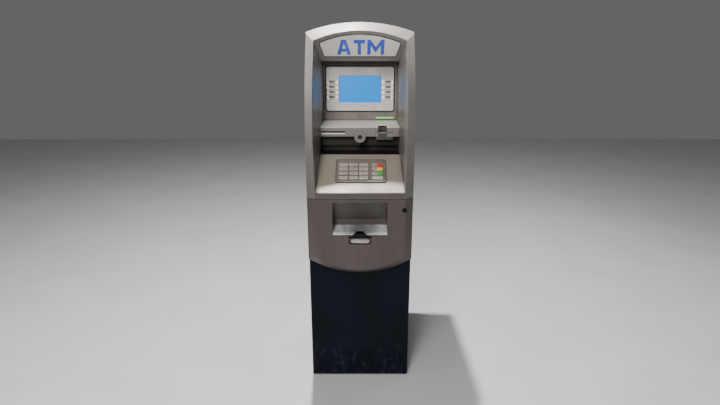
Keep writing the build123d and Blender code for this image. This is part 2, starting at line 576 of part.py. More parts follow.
# ---- Upper cabinet ----
CABINET_FRONT = UPPER_SPLIT + PANEL_GAP / 2
CABINET_BACK = BACK - 4
UPPER_HINGES = (UPPER_BASE + 80, (UPPER_BASE + HEIGHT) / 2, HEIGHT - 120)
SERVICE_HALF = 140.0
SERVICE_BASE, SERVICE_TOP = VAULT_HEIGHT + 110, HEIGHT - 130
REAR_PLATE = 2.0
SCREW_R, SCREW_HEAD_R = 2.0, 4.5
SCREW_ZS = (SERVICE_BASE - 9, (SERVICE_BASE + SERVICE_TOP) / 2, SERVICE_TOP + 9)
SCREW_X = SERVICE_HALF + 9

with BuildPart() as upper_cabinet:
    for inset, mode in ((0, Mode.ADD), (SHELL_WALL, Mode.SUBTRACT)):
        y0, z0 = CABINET_FRONT - inset, VAULT_HEIGHT + inset
        with BuildSketch(Plane(origin=(0, y0, HEIGHT - inset), x_dir=(1, 0, 0), z_dir=(0, -1, 0))):
            add(arch_region(HALF - inset, ARCH_RISE, HALF - inset, HEIGHT - inset - z0))
        extrude(amount=-(CABINET_BACK - inset - y0), mode=mode)
    slab(-SERVICE_HALF, SERVICE_HALF, CABINET_BACK - 10, CABINET_BACK + 1, SERVICE_BASE, SERVICE_TOP,
         mode=Mode.SUBTRACT)
    for x in (-SCREW_X, SCREW_X):
        for z in SCREW_ZS:
            rod_y(x, CABINET_BACK - 10, CABINET_BACK + 1, z, SCREW_R + 0.3, mode=Mode.SUBTRACT)
    with Locations((CABLE_X, CABLE_Y, VAULT_HEIGHT)):
        Cylinder(CABLE_R, 3 * SHELL_WALL, mode=Mode.SUBTRACT)
    add(groove_cut(UPPER_SPLIT, 1, VAULT_HEIGHT - 1, HEIGHT + 1), mode=Mode.SUBTRACT)
    add(hinge_leaf(UPPER_SPLIT, knuckle_spans(UPPER_HINGES, False), 1))
save(upper_cabinet.part, "upper_cabinet")

with BuildPart() as rear_panel:
    slab(-SCREW_X - 9, SCREW_X + 9, CABINET_BACK, CABINET_BACK + REAR_PLATE,
         SERVICE_BASE - 18, SERVICE_TOP + 18)
    fillet(rear_panel.edges().filter_by(Axis.Y), radius=8)
    # Louvre slots in two columns at the top, for the electronics' warm air.
    with BuildSketch(Plane(origin=(0, CABINET_BACK, SERVICE_TOP - 100), x_dir=(1, 0, 0), z_dir=(0, -1, 0))):
        with GridLocations(130, 14, 2, 10):
            SlotOverall(104, 3.6)
    extrude(amount=-REAR_PLATE - 1, mode=Mode.SUBTRACT)
    for x in (-SCREW_X, SCREW_X):
        for z in SCREW_ZS:
            rod_y(x, CABINET_BACK - 1, CABINET_BACK + 9, z, SCREW_R + 0.3, mode=Mode.SUBTRACT)
save(rear_panel.part, "rear_panel")

with BuildPart() as rear_panel_screws:
    for x in (-SCREW_X, SCREW_X):
        for z in SCREW_ZS:
            rod_y(x, CABINET_BACK - 8, CABINET_BACK + REAR_PLATE, z, SCREW_R)
            rod_y(x, CABINET_BACK + REAR_PLATE, BACK - 0.2, z, SCREW_HEAD_R)
save(rear_panel_screws.part, "rear_panel_screws")

with BuildPart() as control_box:
    slab(-120, 120, CABINET_BACK - 110, CABINET_BACK - 12, VAULT_HEIGHT + SHELL_WALL, VAULT_HEIGHT + 190)
    fillet(control_box.edges().filter_by(Axis.Z), radius=4)
    box_front = Plane(origin=(0, CABINET_BACK - 110, VAULT_HEIGHT + 100), x_dir=(1, 0, 0), z_dir=(0, -1, 0))
    with BuildSketch(box_front):
        with GridLocations(16, 30, 10, 3):
            SlotOverall(20, 4, rotation=90)
    extrude(amount=-4, mode=Mode.SUBTRACT)
save(control_box.part, "control_box")

with BuildPart() as hinge_pins:
    for axis_y, middles in ((VAULT_SPLIT, VAULT_HINGES), (UPPER_SPLIT, UPPER_HINGES)):
        for z in middles:
            with Locations((HINGE_X, axis_y, z)):
                Cylinder(PIN_R, 3 * KNUCKLE)
save(hinge_pins.part, "hinge_pins")

# ---- Upper front ----
TUB_REAR = SHELF_REAR + SCREEN_LEAN + 4
LAMP_WINDOW_HALF = RECESS_HALF - 34

with BuildPart() as upper_fascia:
    # The recess's side walls, ceiling and header run from the face back to the screen.
    add(recess_core(-PLATE, UPPER_BASE, CEILING + PLATE, TUB_REAR))
    add(header_void(-PLATE))
    add(upper_block(0, TUB_REAR), mode=Mode.INTERSECT)
    add(upper_block(0, UPPER_SPLIT - PANEL_GAP / 2))
    add(upper_block(SHELL_WALL, UPPER_SPLIT + BEVEL_DEPTH) - recess_core(
        -PLATE, UPPER_BASE, CEILING + PLATE, TUB_REAR) - header_void(-PLATE), mode=Mode.SUBTRACT)
    add(recess_core(0, UPPER_BASE + PLATE, CEILING, TUB_REAR + 1), mode=Mode.SUBTRACT)
    add(header_void(0), mode=Mode.SUBTRACT)
    # Strip that closes the gap between the screen surround and the ceiling.
    slab(-RECESS_HALF - 1, RECESS_HALF + 1, TUB_REAR - PLATE, TUB_REAR,
         SCREEN_BASE + SCREEN_HEIGHT - 8, CEILING + 1)
    # Light window in the header, behind the sign.
    slab(-LAMP_WINDOW_HALF, LAMP_WINDOW_HALF, BREAK_Y - 60, BREAK_Y + BREAK_LEAN + 40,
         CEILING + 30, HEIGHT - TOP_BEVEL - 32, mode=Mode.SUBTRACT)
    add(groove_cut(UPPER_SPLIT, -1, VAULT_HEIGHT, HEIGHT + 1), mode=Mode.SUBTRACT)
    add(hinge_leaf(UPPER_SPLIT, knuckle_spans(UPPER_HINGES, True), -1))
save(upper_fascia.part, "upper_fascia")

SIGN_THICK = 3.0
SIGN_BASE, SIGN_CORNER_Z, SIGN_TOP = CEILING + 17, CEILING + 66, HEIGHT - TOP_BEVEL - 12
SIGN_BASE_HALF, SIGN_TOP_HALF = RECESS_HALF - 17, RECESS_HALF - 4
with BuildPart() as sign_panel:
    with BuildSketch(front_plane):
        with BuildLine():
            ThreePointArc((-SIGN_TOP_HALF, SIGN_CORNER_Z), (0, SIGN_TOP), (SIGN_TOP_HALF, SIGN_CORNER_Z))
            Polyline((SIGN_TOP_HALF, SIGN_CORNER_Z), (SIGN_BASE_HALF, SIGN_BASE),
                     (-SIGN_BASE_HALF, SIGN_BASE), (-SIGN_TOP_HALF, SIGN_CORNER_Z))
        make_face()
        fillet(vertices(), radius=6)
    extrude(amount=-DEPTH)
    add(header_void(0.3) - header_void(0.3 + SIGN_THICK), mode=Mode.INTERSECT)
    add(upper_block(0, TUB_REAR), mode=Mode.INTERSECT)
save(sign_panel.part, "sign_panel")

LETTER_BASE, LETTER_HEIGHT, STROKE = CEILING + 24, 54.0, 13.0
with BuildPart() as sign_letters:
    with BuildSketch(front_plane):
        top, foot = LETTER_BASE + LETTER_HEIGHT, LETTER_BASE
        # Letter A: a tapered outline, less its counter and the gap between its feet.
        left, right, middle = -89.0, -35.0, -62.0
        Polygon((left, foot), (right, foot), (middle + 9, top), (middle - 9, top), align=None)
        Polygon((left + 14, foot), (right - 14, foot), (middle + 10.5, foot + 12),
                (middle - 10.5, foot + 12), align=None, mode=Mode.SUBTRACT)
        Polygon((middle - 7.5, foot + 22), (middle + 7.5, foot + 22), (middle, top - 12),
                align=None, mode=Mode.SUBTRACT)
        # Letter T.
        with Locations((-2.5, top - STROKE / 2)):
            Rectangle(43, STROKE)
        with Locations((-2.5, LETTER_BASE + LETTER_HEIGHT / 2)):
            Rectangle(STROKE, LETTER_HEIGHT)
        # Letter M.
        left, right, middle = 28.0, 93.0, 60.5
        Polygon((left, foot), (left + STROKE, foot), (left + STROKE, top - 20), (middle, foot + 8),
                (right - STROKE, top - 20), (right - STROKE, foot), (right, foot), (right, top),
                (right - STROKE, top), (middle, foot + 28), (left + STROKE, top), (left, top), align=None)
    extrude(amount=-DEPTH)
    letter_set_in = 0.3 + SIGN_THICK
    add(header_void(letter_set_in) - header_void(letter_set_in + 1.5), mode=Mode.INTERSECT)
    add(upper_block(0, TUB_REAR), mode=Mode.INTERSECT)
save(sign_letters.part, "sign_letters")

with BuildPart() as sign_lamp:
    lamp_y, lamp_z = BREAK_Y + 66, CEILING + 84
    slab(-110, 110, lamp_y - 8, lamp_y + 8, lamp_z, lamp_z + 6)
    rod_x(-104, 104, lamp_y, lamp_z, 6)
save(sign_lamp.part, "sign_lamp")

# ---- Screen and function keys ----
SURROUND_HALF = RECESS_HALF - FIT_GAP
BEZEL_MARGIN = 49.0  # of the surround's height left above and below the bezel
BEZEL_HALF, BEZEL_TALL = RECESS_HALF - 14, SCREEN_HEIGHT - BEZEL_MARGIN
BEZEL_UP = 13.5  # bezel's middle above the surround's
BEZEL_PROUD, BEZEL_BACK = 6.0, 6.0
LCD_HALF, LCD_TALL = BEZEL_HALF - 54, 112.0
FKEY_ROWS, FKEY_PITCH, FKEY_TALL = 4, 21.0, 17.0
FKEY_LONG = 49.0
FKEY_MIDDLE = BEZEL_UP - 4.0
FKEY_X = LCD_HALF + 3 + FKEY_LONG / 2
KEY_GAP = 0.5
GRILLE_X, GRILLE_UP, GRILLE_HOLE_R = 12.0, -103.0, 1.5
SPEAKER_R = 17.0
LIGHT_X, LIGHT_HALF, LIGHT_TALL, LIGHT_UP = 107.0, 39.0, 7.0, -108.0
fkey_ups = [FKEY_MIDDLE + FKEY_PITCH * (1.5 - row) for row in range(FKEY_ROWS)]

with BuildPart() as display_surround:
    with BuildSketch(screen_plane):
        Rectangle(2 * SURROUND_HALF, SCREEN_HEIGHT)
        with Locations((0, BEZEL_UP)):
            RectangleRounded(2 * (BEZEL_HALF + 1.5), BEZEL_TALL + 3, 11, mode=Mode.SUBTRACT)
        with Locations((GRILLE_X, GRILLE_UP)):
            with GridLocations(6, 5.5, 6, 4):
                Circle(GRILLE_HOLE_R, mode=Mode.SUBTRACT)
        with Locations((LIGHT_X, LIGHT_UP)):
            RectangleRounded(2 * LIGHT_HALF + 1, LIGHT_TALL + 1, 3, mode=Mode.SUBTRACT)
    extrude(amount=-PLATE)
save(display_surround.part, "display_surround")

with BuildPart() as screen_bezel:
    with BuildSketch(screen_plane.offset(-BEZEL_BACK)):
        with Locations((0, BEZEL_UP)):
            RectangleRounded(2 * BEZEL_HALF, BEZEL_TALL, 9.5)
    extrude(amount=BEZEL_BACK + BEZEL_PROUD)
    fillet(screen_bezel.faces().sort_by(Axis.Y)[0].edges(), radius=2.5)
    with BuildSketch(screen_plane.offset(-BEZEL_BACK)):
        with Locations((0, BEZEL_UP)):
            Rectangle(2 * LCD_HALF, LCD_TALL)
        for side in (-1, 1):
            with Locations(*[(side * FKEY_X, up) for up in fkey_ups]):
                Rectangle(FKEY_LONG, FKEY_TALL)
    extrude(amount=40, mode=Mode.SUBTRACT)
save(screen_bezel.part, "screen_bezel")

with BuildPart() as screen_glass:
    with BuildSketch(screen_plane.offset(-BEZEL_BACK - 0.1)):
        with Locations((0, BEZEL_UP)):
            Rectangle(2 * LCD_HALF + 4, LCD_TALL + 8)
    extrude(amount=-3)
save(screen_glass.part, "screen_glass")

with BuildPart() as lcd_module:
    with BuildSketch(screen_plane.offset(-BEZEL_BACK - 3.3)):
        with Locations((0, BEZEL_UP)):
            RectangleRounded(2 * LCD_HALF + 20, LCD_TALL + 24, 4)
    extrude(amount=-24)
save(lcd_module.part, "lcd_module")

FKEY_TRAVEL = 2.0
for side, side_name in ((-1, "left"), (1, "right")):
    for number, up in enumerate(fkey_ups, start=1):
        key_z0 = FKEY_TRAVEL + 0.4 - BEZEL_BACK
        with BuildPart() as function_key:
            with BuildSketch(screen_plane.offset(key_z0)):
                with Locations((side * FKEY_X, up)):
                    Rectangle(FKEY_LONG - 2 * KEY_GAP, FKEY_TALL - 2 * KEY_GAP)
            extrude(amount=BEZEL_PROUD + 1.5 - key_z0)
            fillet(function_key.faces().sort_by(Axis.Y)[0].edges(), radius=1.5)
            # A dished finger rest between the raised ends.
            with BuildSketch(screen_plane.offset(BEZEL_PROUD - 2)):
                with Locations((side * (FKEY_X + 3.5), up)):
                    Rectangle(22, FKEY_TALL - 6)
            extrude(amount=10, taper=-12, mode=Mode.SUBTRACT)
        save(function_key.part, f"function_key_{side_name}_{number}")

with BuildPart() as speaker:
    with BuildSketch(screen_plane.offset(-PLATE)):
        with Locations((GRILLE_X, GRILLE_UP + 5)):
            Circle(SPEAKER_R)
    extrude(amount=-6)
    with BuildSketch(screen_plane.offset(-PLATE - 6)):
        with Locations((GRILLE_X, GRILLE_UP + 5)):
            Circle(SPEAKER_R * 0.6)
    extrude(amount=-10)
save(speaker.part, "speaker")

with BuildPart() as card_light:
    with BuildSketch(screen_plane.offset(-PLATE - 2)):
        with Locations((LIGHT_X, LIGHT_UP)):
            RectangleRounded(2 * LIGHT_HALF, LIGHT_TALL, 2.5)
    extrude(amount=PLATE + 3.5)
    fillet(card_light.faces().sort_by(Axis.Y)[0].edges(), radius=1)
save(card_light.part, "card_light")

# ---- Shelf, card reader, printer and headphone socket ----
SHELF_FLOOR = 78.0
SCOOP_BACK = BREAK_Y + SCOOP_DEPTH
CARD_X, CARD_HALF = 97.5, 35.0
CARD_SLOT_Z = SHELF_Z + 18.5
CARD_SLOT_HALF, CARD_SLOT_TALL = 32.7, 2.6
THROAT_X, THROAT_HALF, THROAT_DEEP = 90.0, 17.5, 60.0
READER_DROP, READER_DEEP = 12.0, 120.0
RECEIPT_X, RECEIPT_HALF, RECEIPT_Z = -105.5, 46.5, SHELF_Z + 20.5
JACK_R, JACK_BORE_R, JACK_Z = 23.0, 6.5, SHELF_Z - 1
JACK_PROUD = 1.5

with BuildPart() as reader_shelf:
    with BuildSketch(Plane.YZ.offset(-RECESS_HALF - 20)):
        with BuildLine():
            Polyline((SHELF_FRONT, SHELF_Z), (SHELF_FRONT, SHELF_TOP), (SHELF_REAR - 6, SCREEN_BASE - 2),
                     (SHELF_REAR - 6, SHELF_Z), close=True)
        make_face()
    extrude(amount=2 * RECESS_HALF + 40)
    front_top = reader_shelf.edges().filter_by(Axis.X).group_by(Axis.Y)[0]
    fillet(front_top, radius=3)
    with BuildSketch(Plane.YZ.offset(-RECESS_HALF - 20)):
        with BuildLine():
            Polyline((SHELF_FRONT + PLATE, SHELF_Z + PLATE), (SHELF_FRONT + PLATE, SHELF_TOP - PLATE),
                     (SHELF_REAR + 1, SCREEN_BASE - 2 - PLATE), (SHELF_REAR + 1, SHELF_Z - 1),
                     (SHELF_FRONT + SHELF_FLOOR, SHELF_Z - 1), (SHELF_FRONT + SHELF_FLOOR, SHELF_Z + PLATE),
                     close=True)
        make_face()
    extrude(amount=2 * RECESS_HALF + 40, mode=Mode.SUBTRACT)
    add(recess_core(FIT_GAP, SHELF_Z - 1, SCREEN_BASE, SHELF_REAR), mode=Mode.INTERSECT)
    # Openings: the card reader, the card throat in the shelf's top, the receipt slot and the socket.
    slab(CARD_X - CARD_HALF - FIT_GAP, CARD_X + CARD_HALF + FIT_GAP, SHELF_FRONT - 1,
         SHELF_FRONT + SHELF_FLOOR + 1, SHELF_Z - 1, SHELF_TOP - PLATE - 3, mode=Mode.SUBTRACT)
    slab(THROAT_X - THROAT_HALF, THROAT_X + THROAT_HALF, SHELF_FRONT - 1, SHELF_FRONT + THROAT_DEEP,
         CARD_SLOT_Z, SHELF_TOP + 9, mode=Mode.SUBTRACT)
    slab(RECEIPT_X - RECEIPT_HALF, RECEIPT_X + RECEIPT_HALF, SHELF_FRONT - 1, SHELF_FRONT + PLATE + 1,
         RECEIPT_Z - 7, RECEIPT_Z + 3, mode=Mode.SUBTRACT)
    rod_y(0, SHELF_FRONT - 2, SHELF_FRONT + 40, JACK_Z, JACK_R + 0.4, mode=Mode.SUBTRACT)
save(reader_shelf.part, "reader_shelf")

READER_TOP = SHELF_TOP - PLATE - 3.5
with BuildPart() as card_reader:
    slab(CARD_X - CARD_HALF, CARD_X + CARD_HALF, SHELF_FRONT - 2, SHELF_FRONT + READER_DEEP,
         SHELF_Z - READER_DROP, READER_TOP)
    fillet(card_reader.faces().sort_by(Axis.Y)[0].edges(), radius=1.5)
    # Behind the deck's scoop the body steps up clear of the scoop's wall.
    slab(CARD_X - CARD_HALF - 1, CARD_X + CARD_HALF + 1, SCOOP_BACK - 10, SHELF_FRONT + READER_DEEP + 1,
         SHELF_Z - READER_DROP - 1, SHELF_Z + 0.5, mode=Mode.SUBTRACT)
    slab(CARD_X - CARD_SLOT_HALF, CARD_X + CARD_SLOT_HALF, SHELF_FRONT - 3, SHELF_FRONT + 90,
         CARD_SLOT_Z - CARD_SLOT_TALL / 2, CARD_SLOT_Z + CARD_SLOT_TALL / 2, mode=Mode.SUBTRACT)
    slab(THROAT_X - THROAT_HALF + 1, THROAT_X + THROAT_HALF - 1, SHELF_FRONT - 3,
         SHELF_FRONT + THROAT_DEEP - 1, CARD_SLOT_Z - 6, SHELF_TOP, mode=Mode.SUBTRACT)
save(card_reader.part, "card_reader")

ROLL_R, ROLL_CORE_R, ROLL_HALF = 30.0, 6.0, 38.0
ROLL_Y, ROLL_Z = SHELF_FRONT + 156, SHELF_Z - 45
PLATEN_Y, PLATEN_Z, PLATEN_R, PLATEN_PIN_R = SHELF_FRONT + 24, RECEIPT_Z + 4, 6.0, 2.5
CHEEK = 4.0
PRINTER_TOP = SHELF_TOP - PLATE - 1
with BuildPart() as receipt_printer:
    half = RECEIPT_HALF - 1
    slab(RECEIPT_X - half, RECEIPT_X + half, SHELF_FRONT + PLATE + 1.5, SHELF_FRONT + 120,
         SHELF_Z + PLATE + 1, PRINTER_TOP)
    # Lip of the receipt slot, then the paper's way past the platen roller.
    slab(RECEIPT_X - half, RECEIPT_X + half, SHELF_FRONT - 1.5, SHELF_FRONT + PLATE + 2,
         RECEIPT_Z - 6.5, RECEIPT_Z - 2)
    slab(RECEIPT_X - half + 5, RECEIPT_X + half - 5, SHELF_FRONT + PLATE, SHELF_FRONT + 121,
         RECEIPT_Z - 2, RECEIPT_Z + 0.5, mode=Mode.SUBTRACT)
    rod_x(RECEIPT_X - half + 5, RECEIPT_X + half - 5, PLATEN_Y, PLATEN_Z, PLATEN_R + 0.5,
          mode=Mode.SUBTRACT)
    rod_x(RECEIPT_X - half - 1, RECEIPT_X + half + 1, PLATEN_Y, PLATEN_Z, PLATEN_PIN_R + PIN_CLEAR,
          mode=Mode.SUBTRACT)
    # Cheeks that carry the paper roll's spindle.
    cheek_x = ROLL_HALF + 1.5
    for side in (-1, 1):
        x = RECEIPT_X + side * (cheek_x + CHEEK / 2)
        slab(x - CHEEK / 2, x + CHEEK / 2, SHELF_FRONT + 100, ROLL_Y + 9, ROLL_Z - 9, SHELF_Z + 20)
    rod_x(RECEIPT_X - cheek_x - 1, RECEIPT_X + cheek_x + 1, ROLL_Y, ROLL_Z, ROLL_CORE_R - PIN_CLEAR)
save(receipt_printer.part, "receipt_printer")

with BuildPart() as paper_roll:
    rod_x(RECEIPT_X - ROLL_HALF, RECEIPT_X + ROLL_HALF, ROLL_Y, ROLL_Z, ROLL_R)
    rod_x(RECEIPT_X - ROLL_HALF - 1, RECEIPT_X + ROLL_HALF + 1, ROLL_Y, ROLL_Z, ROLL_CORE_R,
          mode=Mode.SUBTRACT)
save(paper_roll.part, "paper_roll")

with BuildPart() as platen_roller:
    roller_half = RECEIPT_HALF - 7
    rod_x(RECEIPT_X - roller_half, RECEIPT_X + roller_half, PLATEN_Y, PLATEN_Z, PLATEN_R)
    rod_x(RECEIPT_X - RECEIPT_HALF + 1, RECEIPT_X + RECEIPT_HALF - 1, PLATEN_Y, PLATEN_Z, PLATEN_PIN_R)
save(platen_roller.part, "platen_roller")

with BuildPart() as audio_jack:
    rod_y(0, SHELF_FRONT - JACK_PROUD, SHELF_FRONT + 26, JACK_Z, JACK_R)
    fillet(audio_jack.faces().sort_by(Axis.Y)[0].edges(), radius=JACK_PROUD - 0.3)
    rod_y(0, SHELF_FRONT - 6, SHELF_FRONT + 16, JACK_Z, JACK_BORE_R, mode=Mode.SUBTRACT)
save(audio_jack.part, "audio_jack")

# ---- Keypad deck and keypad ----
PAD_HALF, PAD_TALL = 96.0, 115.0
PAD_X, PAD_UP = 4.0, 10.5
PAD_PROUD, PAD_DEEP, PAD_FLOOR = 2.5, 10.0, 2.0
SCOOP_TOP = SHELF_Z - 0.5
with BuildPart() as keypad_deck:
    # One bent plate: the front strip, the sloping deck, and the scoop that rises behind it.
    with BuildSketch(Plane.YZ.offset(-HALF)):
        with BuildLine():
            face = FRONT + PLATE / 2
            Polyline(
                (face, UPPER_BASE + PLATE + 0.5),
                (face, DECK_FRONT_Z - 2),
                (BREAK_Y, DECK_REAR_Z - PLATE / 2 / cos(radians(deck_angle))),
                (BREAK_Y + 16, DECK_REAR_Z - 8),
                (SCOOP_BACK - 24, DECK_REAR_Z + 2),
                (SCOOP_BACK - 6, DECK_REAR_Z + 22),
                (SCOOP_BACK - 4, SCOOP_TOP),
            )
        trace(line_width=PLATE)
    extrude(amount=2 * HALF)
    add(recess_core(FIT_GAP, UPPER_BASE, SHELF_Z, SHELF_REAR), mode=Mode.INTERSECT)
    with BuildSketch(deck_plane.offset(-20)):
        with Locations((PAD_X, PAD_UP)):
            RectangleRounded(2 * PAD_HALF + 2 * FIT_GAP, PAD_TALL + 2 * FIT_GAP, 8 + FIT_GAP)
    extrude(amount=40, mode=Mode.SUBTRACT)
save(keypad_deck.part, "keypad_deck")

KEY_TALL, KEY_PITCH = 16.5, 21.7
KEY_TRAVEL = 2.5
KEY_TOP, KEY_FOOT = 7.0, -KEY_TRAVEL - 2.3
COLUMNS = ((-64.0, 34.0), (-25.2, 34.0), (13.6, 34.0), (66.5, 42.0))
key_ups = [PAD_UP - 6 + KEY_PITCH * (1.5 - row) for row in range(4)]
key_names = [
    ("1", "2", "3", "cancel"),
    ("4", "5", "6", "clear"),
    ("7", "8", "9", "enter"),
    ("left", "0", "right", "blank"),
]

with BuildPart() as keypad_housing:
    with BuildSketch(deck_plane.offset(-PAD_DEEP)):
        with Locations((PAD_X, PAD_UP)):
            RectangleRounded(2 * PAD_HALF, PAD_TALL, 8)
    extrude(amount=PAD_DEEP + PAD_PROUD)
    rim = keypad_housing.faces().sort_by(SortBy.AREA)[-2:].sort_by(Axis.Z)[-1]
    fillet(rim.edges(), radius=1.5)
    with BuildSketch(deck_plane.offset(PAD_FLOOR - PAD_DEEP)):
        for x, wide in COLUMNS:
            with Locations(*[(x, up) for up in key_ups]):
                RectangleRounded(wide + 2 * KEY_GAP, KEY_TALL + 2 * KEY_GAP, 3 + KEY_GAP)
    extrude(amount=20, mode=Mode.SUBTRACT)
    with BuildSketch(deck_plane.offset(PAD_PROUD - 1)):
        with Locations((38.0, PAD_UP)):
            Rectangle(2.5, PAD_TALL - 12)
    extrude(amount=5, mode=Mode.SUBTRACT)
save(keypad_housing.part, "keypad_housing")

for up, names in zip(key_ups, key_names):
    for (x, wide), name in zip(COLUMNS, names):
        with BuildPart() as key:
            with BuildSketch(deck_plane.offset(KEY_FOOT)):
                with Locations((x, up)):
                    RectangleRounded(wide, KEY_TALL, 3)
            extrude(amount=KEY_TOP - KEY_FOOT)
            fillet(key.faces().sort_by(SortBy.AREA)[-2:].sort_by(Axis.Z)[-1].edges(), radius=1.2)
        save(key.part, f"key_{name}")

print("height", HEIGHT, "screen normal", screen_plane.z_dir, "deck normal", deck_plane.z_dir)
print("axes: vault", VAULT_SPLIT, "upper", UPPER_SPLIT, "cover", COVER_HINGE_X, COVER_HINGE_Y, "x", HINGE_X)
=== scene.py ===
# %% [markdown]
# # A free-standing cash machine
#
# The machine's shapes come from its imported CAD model, which is loaded as a fixed frame. This file
# gives every part its finish, adds the small pieces that a maker prints, glues or presses on
# afterwards, and sets up the floor, the light and the camera. All lengths are in metres.

# %% Load the frame
import bpy
import bmesh
import json
import math
import numpy as np
from mathutils import Matrix, Vector


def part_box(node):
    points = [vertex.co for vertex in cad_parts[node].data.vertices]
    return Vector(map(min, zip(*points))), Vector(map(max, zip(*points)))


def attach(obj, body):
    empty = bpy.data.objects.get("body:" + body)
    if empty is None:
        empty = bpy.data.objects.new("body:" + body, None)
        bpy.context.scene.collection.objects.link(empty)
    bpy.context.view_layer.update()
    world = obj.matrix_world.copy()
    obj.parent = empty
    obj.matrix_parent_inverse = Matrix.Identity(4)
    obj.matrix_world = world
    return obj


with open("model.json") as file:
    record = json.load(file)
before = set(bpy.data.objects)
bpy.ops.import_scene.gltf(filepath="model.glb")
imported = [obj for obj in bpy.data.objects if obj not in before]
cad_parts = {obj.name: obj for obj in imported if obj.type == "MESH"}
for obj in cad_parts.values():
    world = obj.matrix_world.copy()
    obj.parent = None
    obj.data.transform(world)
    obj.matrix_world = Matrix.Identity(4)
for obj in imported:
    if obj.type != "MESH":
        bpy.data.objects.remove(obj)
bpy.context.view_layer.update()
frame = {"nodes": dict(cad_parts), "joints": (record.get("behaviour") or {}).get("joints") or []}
MM = 0.001

# %% [markdown]
# ## Measuring a part
#
# A key on a sloping deck has to be measured along the slope, not along the room's axes. Each key
# slides straight into its panel, so the slide's axis in the record gives the panel's normal, and
# the part's corners are measured along that normal, along the panel's upward direction and along X.

# %% Panel directions and a measuring helper
slides = {j["child"]: Vector(j["axis"]) for j in frame["joints"] if j["type"] == "slide"}
RIGHT = Vector((1, 0, 0))
DECK_NORMAL = -slides["key_5"]
SCREEN_NORMAL = -slides["function_key_left_1"]
FRONT_NORMAL = Vector((0, -1, 0))


def seat(name, normal):
    """Where a part's outer face is: a matrix with Z along the panel's normal, and two half sizes."""
    up = normal.cross(RIGHT)
    corners = np.array([v.co for v in frame["nodes"][name].data.vertices])
    spans = [(corners @ np.array(axis)) for axis in (RIGHT, up, normal)]
    low, high = [s.min() for s in spans], [s.max() for s in spans]
    middle = RIGHT * ((low[0] + high[0]) / 2) + up * ((low[1] + high[1]) / 2) + normal * high[2]
    place = Matrix((RIGHT, up, normal)).transposed().to_4x4()
    place.translation = middle
    return place, (high[0] - low[0]) / 2, (high[1] - low[1]) / 2


print("deck normal", DECK_NORMAL[:], "screen normal", SCREEN_NORMAL[:])

# %% [markdown]
# ## Helpers for finishes
#
# Every finish is a small node tree. One function adds a node with its settings and its links, and
# one turns a colour as a paint chart gives it, in sRGB hex, into the linear values the shader wants.
# Most surfaces differ by soft patches of a known size, so one more helper draws those: it stretches
# space so that one unit is the patch's real size in millimetres, and puts noise there.

# %% Colour and node helpers
def linear(code):
    """Linear RGBA of an sRGB hex colour such as "8a8683"."""
    parts = [int(code[i:i + 2], 16) / 255 for i in (0, 2, 4)]
    return tuple(p / 12.92 if p <= 0.04045 else ((p + 0.055) / 1.055) ** 2.4 for p in parts) + (1.0,)


def link(material, output, target):
    material.node_tree.links.new(output, target)


def add(material, kind, inputs=(), out=0, **settings):
    """Adds a node and returns one of its outputs. An input is a value, or an output to link from."""
    made = material.node_tree.nodes.new("ShaderNode" + kind)
    for name, value in settings.items():
        setattr(made, name, value)
    for socket, value in (inputs.items() if isinstance(inputs, dict) else enumerate(inputs)):
        if isinstance(value, bpy.types.NodeSocket):
            link(material, value, made.inputs[socket])
        else:
            made.inputs[socket].default_value = value
    return made.outputs[out]


def start(name, shader=None):
    """A new material, its shader with constant sockets set, and the part's own coordinates."""
    material = bpy.data.materials.new(name)
    material.use_nodes = True
    surface = material.node_tree.nodes["Principled BSDF"]
    for socket, value in (shader or {}).items():
        surface.inputs[socket].default_value = value
    return material, surface, add(material, "TexCoord", out="Object")


def blotch(material, place, size, stretch=(1, 1, 1), detail=4.0):
    """Soft patches about size millimetres across, drawn out along the axes by stretch."""
    scale = tuple(1 / (size * MM * s) for s in stretch)
    spread = add(material, "Mapping", {"Vector": place, "Scale": scale})
    return add(material, "TexNoise", {"Vector": spread, "Scale": 1.0, "Detail": detail}, out="Fac")


def dress(material, *names):
    """Gives a finish to parts of the frame."""
    for name in names:
        part = frame["nodes"][name]
        if not part.material_slots:
            part.data.materials.append(material)
        for spot in part.material_slots:
            spot.material = material
    print(material.name, "on", len(names), "parts")


COLOURS = dict(out=2, data_type="RGBA")  # a Mix node set to blend colours, and its colour output
print("mid grey is", [round(v, 3) for v in linear("808080")])

# %% [markdown]
# ## Camera, floor and light
#
# The machine is seen by a standing customer's eye from about two metres away, looking a little
# down, so the lens is short. A ceiling lamp almost overhead lights the top, the shelf and the
# deck, and leaves the upright front to a soft box in front of its head, which fades downwards.

# %% Camera
lens = bpy.data.cameras.new("camera")
lens.lens, lens.sensor_width = 24.45, 36.0
camera = bpy.data.objects.new("camera", lens)
camera.location = (0.0, -2.056, 1.322)
camera.rotation_euler = (math.radians(90 - 16.7), 0, 0)
bpy.context.collection.objects.link(camera)
bpy.context.scene.camera = camera
print("camera at", camera.location[:])


# %% Lamps and room light
def lamp(name, at, aim, size, power, tint):
    """A square area lamp at one point, facing another."""
    light = bpy.data.lights.new(name, "AREA")
    light.shape, light.size, light.energy, light.color = "SQUARE", size, power, tint
    placed = bpy.data.objects.new(name, light)
    placed.location = at
    placed.rotation_euler = (Vector(aim) - Vector(at)).to_track_quat("-Z", "Y").to_euler()
    bpy.context.collection.objects.link(placed)
    print(name, "lamp", power, "W")


